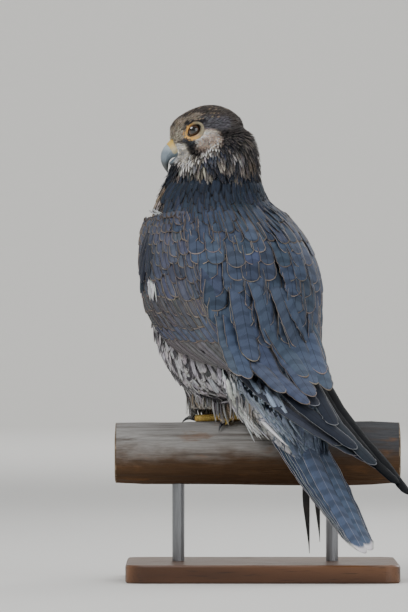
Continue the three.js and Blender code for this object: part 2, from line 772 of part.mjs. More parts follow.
function toeForm(side, toe) {
  const line = toeLine(side, toe);
  return swept(7, 6, (step, angle, open) => {
    const s = step * 1.04 - 0.04;
    const knuckle = 1 + 0.1 * Math.cos(step * Math.PI * 6);
    const r = toe.thick * (1 - 0.28 * step) * knuckle;
    const middle = line(s, r * 0.9);
    const ahead = line(s + 0.05, r * 0.9).sub(middle).normalize();
    const out = line(s, r * 0.9 + 1).sub(middle).normalize();
    const across = ahead.clone().cross(out).normalize();
    return middle
      .addScaledVector(out, open * r * Math.sin(angle))
      .addScaledVector(across, open * r * 1.05 * Math.cos(angle));
  });
}

// Where the claw leaves a toe, the way that the toe points there, and the way off the log
function clawRoot(side, toe) {
  const line = toeLine(side, toe);
  const lift = toe.thick * CLAW.raise;
  const root = line(1, lift);
  const ahead = line(1.05, lift).sub(root).normalize();
  const out = line(1, lift + 1).sub(root).normalize();
  return { root, ahead, out };
}

function clawForm(side, toe) {
  const { root, ahead, out } = clawRoot(side, toe);
  const across = ahead.clone().cross(out).normalize();
  const turn = CLAW.length / rad(CLAW.bend);
  return swept(6, 7, (step, angle, open) => {
    const s = step * 1.1 - 0.1;
    const bend = rad(CLAW.bend) * s;
    const r = CLAW.radius * (1 - 0.93 * Math.max(0, s)) * open;
    const middle = root.clone()
      .addScaledVector(ahead, turn * Math.sin(bend) + 0.3)
      .addScaledVector(out, turn * (Math.cos(bend) - 1) * 0.62 + 1.6 * Math.sin(Math.PI * s));
    const up = out.clone().multiplyScalar(Math.cos(bend)).addScaledVector(ahead, Math.sin(bend));
    return middle
      .addScaledVector(up, r * Math.sin(angle))
      .addScaledVector(across, r * 0.85 * Math.cos(angle));
  });
}

function tarsusForm(foot) {
  const low = LOG.height + LOG.radius + 1;
  const { radius, length, sides } = TARSUS;
  const form = new THREE.CylinderGeometry(radius, radius * 1.5, length, sides);
  form.rotateX(Math.PI / 2);
  return form.translate(foot, 0, low + length / 2);
}

function buildLegs(scene, bird, trunkAround, logAround, clear) {
  Object.entries(FEET).forEach(([name, foot]) => {
    const side = name === 'left' ? 1 : -1;
    const upright = v3(0, 0, 1);
    const ankle = v3(0, 0, LEG.bottom);
    const trouser = solid(trouserForm(side, foot)).subtract(trunkAround).subtract(clear);
    const [thigh] = parted(trouser, ankle, upright);
    node(bird, `leg_${name}`, thigh, material(COLOURS.breast, 0.85));

    const stem = solid(tarsusForm(foot));
    const [, shank] = parted(stem, ankle, upright);
    let whole = shank;
    TOES.forEach((toe) => {
      whole = whole.add(solid(toeForm(side, toe)));
    });
    TOES.forEach((toe) => {
      const { root, ahead } = clawRoot(side, toe);
      const aside = upright.clone().cross(ahead).normalize();
      const turn = new THREE.Matrix4().makeBasis(ahead, aside, ahead.clone().cross(aside));
      const [long, wide, high] = CLAW_CUT;
      const cut = solid(new THREE.BoxGeometry(long, wide, high)
        .translate(long / 2, 0, 0)
        .applyMatrix4(turn)
        .translate(root.x, root.y, root.z));
      whole = whole.subtract(cut);
      const claw = solid(clawForm(side, toe));
      const kept = claw.trimByPlane([ahead.x, ahead.y, ahead.z], ahead.dot(root) + GAP);
      const finish = material(COLOURS.claw, 0.3);
      node(scene, `claw_${name}_${toe.name}`, kept.subtract(logAround), finish);
    });
    node(scene, `foot_${name}`, whole.subtract(logAround), material(COLOURS.foot, 0.6));
  });
}

// The middle line of a strap: along the top of the log, over its shoulder and straight down
function jessLine(jess) {
  const top = JESS.angle;
  const around = 4;
  const points = [logPoint(jess.start, top - 0.12, JESS.lift + 1.4)];
  jess.over.forEach((x) => points.push(logPoint(x, top, JESS.lift)));
  for (let i = 1; i <= around; i += 1) {
    const angle = top + (Math.PI / 2 - top) * (i / around);
    const last = jess.over[jess.over.length - 1];
    const x = THREE.MathUtils.lerp(last, jess.hangs, i / around);
    points.push(logPoint(x, angle, JESS.lift + 0.4 * i));
  }
  const front = points[points.length - 1];
  [0.25, 0.5, 0.75, 1].forEach((part) => {
    const z = THREE.MathUtils.lerp(front.z, jess.low, part);
    points.push(v3(jess.hangs, front.y - 1.2, z));
  });
  return new THREE.CatmullRomCurve3(points);
}

function jessForm(jess) {
  const line = jessLine(jess);
  const length = line.getLength();
  return slab(20, 1, (u, v, face) => {
    const middle = line.getPointAt(u);
    const ahead = line.getTangentAt(u);
    const angle = Math.min(Math.PI / 2, Math.atan2(-middle.y, middle.z - LOG.height));
    const out = middle.z > LOG.height && angle > 0
      ? v3(0, -Math.sin(angle), Math.cos(angle))
      : v3(0, -1, 0);
    const across = ahead.clone().cross(out).normalize();
    const left = THREE.MathUtils.clamp((1 - u) * (length / JESS.taper), 0.06, 1);
    const side = (v - 0.5) * JESS.width;
    const reach = side * across.x < 0 ? side + (1 - left) * JESS.width * Math.sign(across.x) : side;
    return middle
      .addScaledVector(across, reach)
      .addScaledVector(out, (face ? JESS.thick : 0));
  });
}

function buildJesses(scene) {
  Object.entries(JESSES).forEach(([name, jess]) => {
    node(scene, `jess_${name}`, solid(jessForm(jess)), material(COLOURS.leather, 0.55));
  });
}

const scene = new THREE.Group();
const bird = new THREE.Group();
bird.position.set(BIRD.x, BIRD.y, 0);
bird.rotation.z = rad(90 + BIRD.heading);
scene.add(bird);

const logAround = solid(logForm(GAP));
node(scene, 'perch_log', solid(logForm(0)), material(COLOURS.wood, 0.9));
buildStand(scene, logAround);

const trunkAround = solid(trunkForm(30, 22, GAP)).add(inTail(rumpForm(GAP)));
const logBelow = solid(logForm(LOG_CLEAR).applyMatrix4(birdMatrix().invert()));
buildBody(bird, logBelow);
buildWings(bird, trunkAround);
buildLegs(scene, bird, trunkAround, logAround, logBelow);
buildJesses(scene);

export default scene;
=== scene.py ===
# %% [markdown]
# # A peregrine falcon on its perch
# The bird stands on a short cut log with its back to us and looks over its left side.
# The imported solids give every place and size. This lesson dresses them: a smooth skin is laid
# inside the solids, and thousands of small solid feathers grow from it in rows, as on a bird.

# %% Load the frame
import json
import math

import bmesh
import bpy
import numpy as np
from mathutils import Matrix, Vector
from mathutils.bvhtree import BVHTree

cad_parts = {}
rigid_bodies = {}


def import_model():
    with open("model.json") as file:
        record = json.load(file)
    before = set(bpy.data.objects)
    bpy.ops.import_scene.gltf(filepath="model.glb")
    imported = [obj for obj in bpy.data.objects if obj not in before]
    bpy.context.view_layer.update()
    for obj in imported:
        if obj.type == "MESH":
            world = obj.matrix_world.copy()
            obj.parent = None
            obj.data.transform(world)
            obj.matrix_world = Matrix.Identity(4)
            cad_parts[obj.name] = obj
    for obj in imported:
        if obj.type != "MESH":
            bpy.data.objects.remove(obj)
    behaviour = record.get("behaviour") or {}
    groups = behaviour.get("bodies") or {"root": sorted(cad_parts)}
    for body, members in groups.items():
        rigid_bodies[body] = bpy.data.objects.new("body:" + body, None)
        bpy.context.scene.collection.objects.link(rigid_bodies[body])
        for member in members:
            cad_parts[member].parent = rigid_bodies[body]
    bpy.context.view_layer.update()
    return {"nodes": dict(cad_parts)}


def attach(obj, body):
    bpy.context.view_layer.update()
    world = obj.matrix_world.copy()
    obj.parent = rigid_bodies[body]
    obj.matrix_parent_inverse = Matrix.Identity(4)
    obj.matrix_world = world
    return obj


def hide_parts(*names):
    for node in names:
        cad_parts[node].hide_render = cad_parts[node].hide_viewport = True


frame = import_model()
nodes = frame["nodes"]
mm = 0.001
chance = np.random.default_rng(7)
wobble = chance.standard_normal
print("nodes:", len(nodes))

# %% [markdown]
# A long lens far from the bird keeps its proportions as the photograph shows them. A short
# one near by would swell the near wing. The picture is 408 by 612, and one of its pixels is
# 0.885 mm at the bird, so a pixel can be turned into a place on the model.

# %% Camera
picture_wide, picture_high = 408, 612
pixel = 0.885 * mm
# the pixel of a mark on the log, and how high that mark lies in metres
mark_px, mark_py, mark_height = 262, 552, 0.024
camera_distance = 6.0
sensor_high = 24
view_end = 50


def pixel_place(px, py):
    """Where a pixel of the photograph lies in the plane of the log: x and z in metres."""
    return (px - mark_px) * pixel, mark_height + (mark_py - py) * pixel


aim_x, aim_z = pixel_place(picture_wide / 2, picture_high / 2)
camera_data = bpy.data.cameras.new("camera")
camera_data.sensor_fit = "VERTICAL"
camera_data.sensor_height = sensor_high
camera_data.lens = sensor_high * camera_distance / (picture_high * pixel)
camera_data.clip_end = view_end
camera = bpy.data.objects.new("camera", camera_data)
bpy.context.scene.collection.objects.link(camera)
camera.location = (aim_x, -camera_distance, aim_z)
camera.rotation_euler = (math.radians(90), 0, 0)
bpy.context.scene.camera = camera
print("lens:", round(camera_data.lens), "mm")

# %% [markdown]
# The stage is a round floor of pale paper that curves up into a wall all round. A flat wall
# would be simpler, but a line would cut the picture at its foot. It starts as a flat grid:
# one side is bent round the middle, and the other runs out and up.

# %% Stage
floor_radius = 7.6
curve_radius = 1.5
paper_length = 15.0


def plain_object(name, mesh):
    thing = bpy.data.objects.new(name, mesh)
    bpy.context.scene.collection.objects.link(thing)
    return thing


def smooth(mesh):
    mesh.polygons.foreach_set("use_smooth", [True] * len(mesh.polygons))


def made(form, name):
    """An object with smooth faces from a bmesh, which is freed."""
    mesh = bpy.data.meshes.new(name)
    form.to_mesh(mesh)
    form.free()
    smooth(mesh)
    return plain_object(name, mesh)


sheet = bmesh.new()
bmesh.ops.create_grid(sheet, x_segments=72, y_segments=90, size=1)
for corner in sheet.verts:
    angle = math.pi * corner.co.x
    run = paper_length * (corner.co.y + 1) / 2
    past = max(0.0, run - floor_radius)
    turn = min(past / curve_radius, math.pi / 2)
    rise = curve_radius * (1 - math.cos(turn)) + max(0.0, past - curve_radius * math.pi / 2)
    reach = min(run, floor_radius) + curve_radius * math.sin(turn)
    corner.co = (reach * math.cos(angle), reach * math.sin(angle), rise)
bmesh.ops.remove_doubles(sheet, verts=sheet.verts, dist=1e-4)
bmesh.ops.reverse_faces(sheet, faces=sheet.faces)
stage = made(sheet, "paper_sheet")
print("paper:", len(stage.data.polygons), "faces")

# %% [markdown]
# A large lamp high at the left shows each feather with a soft shadow, and a weaker one low
# at the right fills it. Three more light the top, the shoulder and the paper. Small lamps
# would do with less power, but their shadows are hard.

# %% Light
bird_middle, paper_middle = (0, 0, 0.22), (0, 8.5, 0.8)
# name, place, what it is aimed at, size in metres, watts
lamps = [
    ("key_lamp", (-1.5, -2.2, 2.3), bird_middle, 1.4, 62),
    ("fill_lamp", (2.0, -1.8, 0.9), bird_middle, 1.8, 20),
    ("top_lamp", (0.2, 0.5, 2.6), bird_middle, 1.6, 34),
    ("rim_lamp", (1.0, 1.6, 1.2), bird_middle, 1.0, 12),
    ("paper_lamp", (0.0, 4.5, 4.0), paper_middle, 2.4, 170)]
for lamp_name, lamp_place, lamp_aim, lamp_size, lamp_power in lamps:
    lamp_data = bpy.data.lights.new(lamp_name, "AREA")
    lamp_data.size = lamp_size
    lamp_data.energy = lamp_power
    lamp = plain_object(lamp_name, lamp_data)
    lamp.location = lamp_place
    way = Vector(lamp_aim) - Vector(lamp_place)
    lamp.rotation_euler = way.to_track_quat("-Z", "Y").to_euler()
world = bpy.data.worlds.new("studio")
bpy.context.scene.world = world
world.use_nodes = True
sky = world.node_tree.nodes["Background"].inputs
sky["Color"].default_value = (0.86, 0.9, 0.96, 1)
sky["Strength"].default_value = 0.27
print("lamps:", len(lamps))

# %% [markdown]
# Materials are built from nodes. They could be wired by hand in the editor, but with a few
# small helpers a whole finish reads as a few lines. Colours are named as a screen shows them,
# from 0 to 255, and turned into the linear values that Blender mixes.

# %% Node helpers


def tint(red, green, blue, strength=1.0):
    """A screen colour as a linear one."""
    values = [((v / 255) / 12.92 if v <= 10 else ((v / 255 + 0.055) / 1.055) ** 2.4)
              for v in (red, green, blue)]
    return np.array(values) * strength


class Board:
    """Adds nodes to a material or a group and wires them."""

    def __init__(self, tree):
        self.tree = tree

    def put(self, kind, inputs=None, **settings):
        """A new shader node, with values or wires on its inputs."""
        node = self.tree.nodes.new("ShaderNode" + kind)
        for key, value in settings.items():
            setattr(node, key, value)
        for key, value in (inputs or {}).items():
            self.join(value, node.inputs[key])
        return node

    def join(self, value, socket):
        if isinstance(value, bpy.types.NodeSocket):
            self.tree.links.new(value, socket)
        elif hasattr(value, "__len__") and len(value) == 3 and socket.type == "RGBA":
            socket.default_value = (*value, 1)
        else:
            socket.default_value = value

    def work(self, operation, *values, clamp=False):
        """The result of a Math node on one to three values."""
        node = self.put("Math", dict(enumerate(values)), operation=operation,
                        use_clamp=clamp)
        return node.outputs[0]

    def times(self, first, second, clamp=False):
        return self.work("MULTIPLY", first, second, clamp=clamp)

    def scaled(self, value, factor, added):
        """value * factor + added."""
        return self.work("MULTIPLY_ADD", value, factor, added)

    def length(self, first, second):
        squares = (self.work("POWER", side, 2.0) for side in (first, second))
        return self.work("SQRT", self.work("ADD", *squares))

    def fade(self, value, low, high, out_low=0.0, out_high=1.0):
        """A smooth step from out_low at low to out_high at high."""
        node = self.put("MapRange", {"Value": value, "From Min": low, "From Max": high,
                                               "To Min": out_low, "To Max": out_high},
                        interpolation_type="SMOOTHSTEP")
        return node.outputs["Result"]

    def blend(self, share, first, second, kind="MIX"):
        """A colour between the first at 0 and the second at 1."""
        node = self.put("Mix", data_type="RGBA", blend_type=kind)
        for number, value in ((0, share), (6, first), (7, second)):
            self.join(value, node.inputs[number])
        return node.outputs[2]

    def noise(self, place, scale, detail=3.0, rough=0.55, stretch=None):
        if stretch is not None:
            place = self.put("Mapping", {"Vector": place, "Scale": stretch}).outputs[0]
        node = self.put("TexNoise", {"Vector": place, "Scale": scale, "Detail": detail,
                                               "Roughness": rough})
        return node.outputs["Fac"]

    def cells(self, place, scale, output="Distance", **settings):
        node = self.put("TexVoronoi", {"Vector": place, "Scale": scale}, **settings)
        return node.outputs[output]

    def space(self):
        """Places on the piece itself, in metres."""
        return self.put("TexCoord").outputs["Object"]

    def stored(self, name, output="Vector"):
        """What each vertex of the mesh carries under a name."""
        return self.put("Attribute", attribute_name=name).outputs[output]

    def apart(self, vector):
        return self.put("SeparateXYZ", {0: vector}).outputs

    def together(self, *parts):
        return self.put("CombineXYZ", dict(enumerate(parts))).outputs[0]

    def finish(self, colour, rough=None, height=None, relief=0.5, reach=mm):
        """Wires a colour, a roughness and a height, which becomes a bump reach metres deep,
        and gives back the material."""
        sockets = self.tree.nodes["Principled BSDF"].inputs
        self.join(colour, sockets["Base Color"])
        if rough is not None:
            self.join(rough, sockets["Roughness"])
        if height is not None:
            bump = self.put("Bump", {"Height": height, "Strength": relief,
                                               "Distance": reach})
            self.join(bump.outputs[0], sockets["Normal"])
        return self.material


def new_group(name, inputs, outputs):
    """A shader node group with named sockets."""
    tree = bpy.data.node_groups.new(name, "ShaderNodeTree")
    kinds = {"colour": "NodeSocketColor", "value": "NodeSocketFloat", "vector": "NodeSocketVector"}
    for socket_name, kind in inputs.items():
        tree.interface.new_socket(socket_name, in_out="INPUT", socket_type=kinds[kind])
    for socket_name, kind in outputs.items():
        tree.interface.new_socket(socket_name, in_out="OUTPUT", socket_type=kinds[kind])
    return (Board(tree), tree.nodes.new("NodeGroupInput").outputs,
            tree.nodes.new("NodeGroupOutput").inputs)


def new_material(name, specular=0.5, **constants):
    """The board of a new material with one shader, and constants on its own sockets."""
    material = bpy.data.materials.new(name)
    material.use_nodes = True
    board = Board(material.node_tree)
    board.material = material
    constants["Specular_IOR_Level"] = specular
    for key, value in constants.items():
        board.tree.nodes["Principled BSDF"].inputs[key.replace("_", " ")].default_value = value
    return board


paper = new_material("pale_paper", Roughness=0.9)
stage.data.materials.append(paper.finish((0.78, 0.77, 0.74)))

# %% [markdown]
# A feather has a shaft down its middle and fine barbs that slant off it, and often darker
# bars, a pale fringe and a pale tip. A painted image could show them, but nodes stay sharp
# at any size and differ on every feather. The group below draws them from what each feather
# carries: its colours, its distance to the rim and to the tip in millimetres, and a map in
# millimetres across and along the vane.

# %% Feather group
fb, given, result = new_group(
    "feather_marks",
    {"Ground": "colour", "Fringe": "colour", "Marks": "colour", "Tip length": "value",
     "Near": "vector", "Vane": "vector", "Bar pitch": "value", "Bar depth": "value",
     "Barb pitch": "value"},
    {"Colour": "colour", "Roughness": "value", "Height": "value"})
rim_mm, tip_mm, feather_seed = fb.apart(given["Near"])[:3]
across_mm, along_mm = fb.apart(given["Vane"])[:2]
bars_share, fringe_share, shaft_share = fb.apart(given["Marks"])[:3]
aside_mm = fb.work("ABSOLUTE", across_mm)
# clouds over the whole vane, and streaks that follow its slanting barbs
cloud = fb.noise(fb.together(across_mm, along_mm, fb.times(feather_seed, 40.0)), 0.16, 3.0)
slant = fb.work("SUBTRACT", along_mm, fb.times(aside_mm, 0.8))
streak = fb.noise(fb.together(fb.times(across_mm, 0.18), slant, fb.times(feather_seed, 17.0)),
                  1.1, 2.0)
barb_wave = fb.work("SINE", fb.work("DIVIDE", slant, given["Barb pitch"]))
# bars: waves along the vane, bent back at the sides and shifted by the clouds
full_turn = 6.283
bar_shift = fb.scaled(cloud, 3.2, fb.times(feather_seed, 6.3))
bar_line = fb.work("SUBTRACT", along_mm, fb.times(aside_mm, 0.3))
bar_turn = fb.scaled(fb.work("DIVIDE", bar_line, given["Bar pitch"]), full_turn, bar_shift)
bar_wave = fb.fade(fb.work("COSINE", bar_turn), -0.25, 0.75)
bar_mask = fb.times(bar_wave, fb.times(bars_share, given["Bar depth"]))
# the shaft, and the fringe and the tip with ragged inner edges
shaft_mask = fb.times(fb.fade(aside_mm, 0.12, 0.42, 1.0, 0.0), shaft_share)
ragged = fb.work("SUBTRACT", streak, 0.5)


def edge_mask(way, width, rag, low, high):
    """1 within a width of an edge and 0 past it. way is how far away the edge is."""
    share = fb.work("DIVIDE", fb.scaled(ragged, rag, way), fb.work("MAXIMUM", width, 0.01))
    return fb.fade(share, low, high, 1.0, 0.0)


fringe_mm = fb.times(fringe_share, fb.fade(tip_mm, 1.0, 6.0, 4.0, 1.5))
pale_mask = fb.work("MAXIMUM", edge_mask(rim_mm, fringe_mm, 0.5, 0.55, 1.15),
                    edge_mask(tip_mm, given["Tip length"], 2.0, 0.6, 1.2))
vane_grey = fb.scaled(streak, 0.5, 0.75)
vane_shade = fb.put("CombineColor", dict.fromkeys(range(3), vane_grey)).outputs[0]
vane_colour = fb.blend(bar_mask, given["Ground"], (0.0, 0.0, 0.0))
vane_colour = fb.blend(1.0, vane_colour, vane_shade, "MULTIPLY")
# a shaft streak is dark where its share is above 0, and pale where it is below
vane_colour = fb.blend(fb.times(shaft_mask, 0.8, clamp=True), vane_colour, (0.004, 0.004, 0.005))
vane_colour = fb.blend(fb.times(shaft_mask, -1.0, clamp=True), vane_colour, given["Fringe"])
fb.join(fb.blend(pale_mask, vane_colour, given["Fringe"]), result["Colour"])
fb.join(fb.scaled(cloud, 0.2, 0.5), result["Roughness"])
shaft_ridge = fb.fade(aside_mm, 0.0, 0.5, 1.0, 0.0)
barb_height = fb.scaled(barb_wave, 0.05, fb.times(streak, 0.6))
fb.join(fb.scaled(shaft_ridge, 0.5, barb_height), result["Height"])
print("feather group:", len(fb.tree.nodes), "nodes")


def plumage(name, bar_pitch=9.0, bar_depth=0.45, barb_pitch=0.09, relief=0.35, shine=0.12,
            sheen=0.05):
    """A feather material: pitches in millimetres, bar depth from 0 to 1."""
    board = new_material(name, shine, Sheen_Weight=sheen, Sheen_Roughness=0.4)
    marks = board.put("Attribute", attribute_name="marks").outputs
    group = board.put("Group", node_tree=fb.tree)
    for key, value in {
            "Ground": board.stored("ground", "Color"), "Fringe": board.stored("fringe", "Color"),
            "Marks": marks["Color"], "Tip length": marks["Alpha"],
            "Near": board.stored("near"), "Vane": board.stored("vane"),
            "Bar pitch": bar_pitch, "Bar depth": bar_depth, "Barb pitch": barb_pitch}.items():
        board.join(value, group.inputs[key])
    return board.finish(group.outputs["Colour"], group.outputs["Roughness"],
                        group.outputs["Height"], relief, 0.4 * mm)

# %% [markdown]
# The bird faces away from us and 35 degrees to its left, so its own frame is turned: x runs
# forward, y to its left and z up. Objects could be turned instead, but places are worked out
# in the model's frame here, so that every object stays unturned, as its solid is.

# %% Frames of the bird


def frame_at(place, turn, tip=0):
    """A frame at a place in mm, turned about z and then tipped about its own y, in degrees."""
    return (Matrix.Translation(Vector(place) * mm) @ Matrix.Rotation(math.radians(turn), 4, "Z")
            @ Matrix.Rotation(math.radians(tip), 4, "Y"))


bird = frame_at((-12, 3, 0), 90 + 35)
head_matrix = bird @ frame_at((52.7, 10.7, 400.5), 63, 22)
tail_matrix = bird @ frame_at((-30, 0, 170), 190, 50.5)
bird_array, head_array, tail_array = (np.array(m) for m in (bird, head_matrix, tail_matrix))


def out_of(matrix, points):
    """Points or arrays of points of a turned frame, in the model's frame."""
    return points @ matrix[:3, :3].T + matrix[:3, 3]


def into(matrix, points):
    """Points of the model's frame, in a turned frame."""
    return (points - matrix[:3, 3]) @ matrix[:3, :3]


def unit(vectors):
    """Vectors of length 1."""
    return vectors / np.maximum(np.linalg.norm(vectors, axis=-1, keepdims=True), 1e-12)


print("head at:", [round(value, 3) for value in head_array[:3, 3]])

# %% [markdown]
# The solids of the head, neck, trunk and legs give the outer shape of the coat. Feathering
# them one by one would show seams, so copies of them are joined, remeshed into one even
# surface and smoothed. Rays shot at it tell where a feather sits.

# %% Coat surface and skin


def merged_copy(name, sources):
    """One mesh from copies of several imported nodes, with doubles merged."""
    gathered = bmesh.new()
    for source in sources:
        gathered.from_mesh(nodes[source].data)
    bmesh.ops.remove_doubles(gathered, verts=gathered.verts, dist=1e-6)
    return made(gathered, name)


def settled(thing):
    """Applies every modifier of an object to its mesh."""
    graph = bpy.context.evaluated_depsgraph_get()
    mesh = bpy.data.meshes.new_from_object(thing.evaluated_get(graph))
    thing.modifiers.clear()
    old = thing.data
    thing.data = mesh
    bpy.data.meshes.remove(old)
    smooth(thing.data)
    return thing


def remeshed(name, sources, voxel, rounds):
    """Copies of nodes as one even surface of a grid size, with rounds of smoothing."""
    thing = merged_copy(name, sources)
    grid = thing.modifiers.new("even", "REMESH")
    grid.mode = "VOXEL"
    grid.voxel_size = voxel
    soften = thing.modifiers.new("soften", "SMOOTH")
    soften.factor = 0.5
    soften.iterations = rounds
    return settled(thing)


def vertex_array(mesh, kind="co"):
    """The places of a mesh's vertices, or their normals."""
    values = np.zeros(len(mesh.vertices) * 3, np.float32)
    mesh.vertices.foreach_get(kind, values)
    return values.reshape(-1, 3).astype(float)


def tree_of(thing):
    """What rays can be shot at."""
    return BVHTree.FromPolygons([v.co.copy() for v in thing.data.vertices],
                                [tuple(p.vertices) for p in thing.data.polygons])


skin = remeshed("skin", ["torso", "neck", "head", "leg_left", "leg_right"], 1.8 * mm, 6)
skin_tree = tree_of(skin)
print("skin:", len(skin.data.polygons), "faces")

# %% [markdown]
# Places on the trunk are a height and an angle, measured from the middle of the back
# towards the bird's left. Rays would find the surface too, but one at a time. The trunk's
# own sections give it at once for whole rows of feathers.

# %% Places on the trunk
# height, forward and left of the middle, depth to the breast, depth to the back, half width
trunk_rows = np.array([
    [154, -5, 2, 15, 17, 22], [160, -4, 4, 36, 32, 43], [170, -2, 5, 50, 46, 57],
    [188, 5, 6, 61, 55, 66], [212, 14, 6, 68, 60, 70], [236, 21, 4, 70, 63, 72],
    [262, 27, 1, 70, 65, 72], [286, 36, 0, 67, 66, 69], [304, 43, 0, 62, 62, 64],
    [320, 49, 1, 56, 55, 58], [334, 54, 3, 49, 49, 50], [350, 49, 5, 42, 43, 43],
    [368, 45, 5, 38, 41, 39], [384, 41, 3, 31, 34, 33], [396, 41, 2, 25, 27, 27],
    [405, 42, 2, 14, 16, 15]], float)


def between_rows(rows, place):
    """Values of a table at any place of its first column, on a smooth curve."""
    line, values = rows[:, 0], rows[:, 1:]
    slopes = np.gradient(values, line, axis=0)
    place = np.clip(place, line[0], line[-1])
    low = np.clip(np.searchsorted(line, place) - 1, 0, len(line) - 2)
    span = (line[low + 1] - line[low])[..., None]
    t = (place - line[low])[..., None] / span
    return (values[low] * (1 + 2 * t) * (1 - t) ** 2 + slopes[low] * span * t * (1 - t) ** 2
            + values[low + 1] * t ** 2 * (3 - 2 * t) + slopes[low + 1] * span * t ** 2 * (t - 1))


def trunk_place(height, angle, lift=0.0):
    """Places at heights in mm and angles in degrees, lifted off the trunk by some mm."""
    forward, left, front, back, half = np.moveaxis(between_rows(trunk_rows, height), -1, 0)
    turn = np.radians(angle)
    deep = np.where(np.cos(turn) > 0, back, front) + lift
    local = np.stack([forward - deep * np.cos(turn), left + (half + lift) * np.sin(turn),
                      height + 0 * turn], -1)
    return out_of(bird_array, local * mm)


def trunk_outward(height, angle):
    """The outward direction of the trunk's surface."""
    down = trunk_place(height - 4, angle) - trunk_place(height + 4, angle)
    around = trunk_place(height, angle + 3) - trunk_place(height, angle - 3)
    return unit(np.cross(down, around))


# %% [markdown]
# Every feather is a thin closed vane: an upper and a lower face that share one rim. Hairs
# are quicker to lay, but a falcon's coat is made of broad vanes whose edges show. An operator
# for each of many thousands would take minutes, so they are worked out together as arrays.

# %% Vanes as arrays
vane_profile = [(0.0, 0.42), (0.25, 0.88), (0.6, 1.0), (1.0, 0.96)]
quill_profile = [(0.0, 0.5), (0.15, 0.9), (0.5, 1.0), (1.0, 0.8)]
lance_profile = [(0.0, 0.5), (0.25, 1.0), (0.5, 0.9), (0.8, 0.5), (1.0, 0.08)]


def sampled(track, place):
    """Places from 0 to 1 along many polylines at once: (N, K, 3) gives (N, *place.shape, 3)."""
    steps = track.shape[1] - 1
    run = np.clip(place, 0, 1) * steps
    low = np.minimum(run.astype(int), steps - 1)
    part = (run - low)[None, ..., None]
    return track[:, low] * (1 - part) + track[:, low + 1] * part


def vane_faces(shape, count):
    """The four-cornered faces of count vanes on a grid of a shape. The lower face has its
    own vertices inside the rim: these places of the grid come back too, and the number of
    vertices of one vane."""
    inner = np.zeros(shape, bool)
    inner[1:-1, 1:-1] = True
    size = inner.size + int(inner.sum())
    top_index = np.arange(inner.size).reshape(shape)
    low_index = top_index.copy()
    low_index[inner] = np.arange(inner.size, size)
    squares = []
    for grid, flip in ((top_index, False), (low_index, True)):
        a, b, c, d = grid[:-1, :-1], grid[:-1, 1:], grid[1:, 1:], grid[1:, :-1]
        order = (d, c, b, a) if flip else (a, b, c, d)
        squares.append(np.stack(order, -1).reshape(-1, 4))
    faces = np.concatenate(squares)[None] + size * np.arange(count)[:, None, None]
    return faces.reshape(-1, 4), inner, size


def squares_mesh(name, vertices, faces):
    """A smooth mesh from arrays of places and of four-cornered faces."""
    mesh = bpy.data.meshes.new(name)
    mesh.vertices.add(len(vertices))
    mesh.vertices.foreach_set("co", vertices.astype(np.float32).ravel())
    mesh.loops.add(faces.size)
    mesh.polygons.add(len(faces))
    mesh.polygons.foreach_set("loop_start", np.arange(0, faces.size, 4, dtype=np.int32))
    mesh.loops.foreach_set("vertex_index", faces.astype(np.int32).ravel())
    mesh.update(calc_edges=True)
    smooth(mesh)
    return mesh


def store(mesh, name, values):
    """Keeps three values for each vertex, or a colour's four, for the material."""
    kind, key = {3: ("FLOAT_VECTOR", "vector"), 4: ("FLOAT_COLOR", "color")}[values.shape[-1]]
    layer = mesh.attributes.new(name, kind, "POINT")
    layer.data.foreach_set(key, values.astype(np.float32).ravel())


def opaque(colours):
    """Colours with an alpha of 1."""
    return np.concatenate([colours, np.ones((len(colours), 1))], 1)


# %% [markdown]
# Each feather follows its own line from root to tip, is widest past its middle and round at
# the tip, and arches across. One call lays a whole row or region as one piece and stores
# with each vertex what the feather group reads.

# %% Feather maker
root_pack = 1.35
tip_round = 0.375
coat_total = {"triangles": 0}


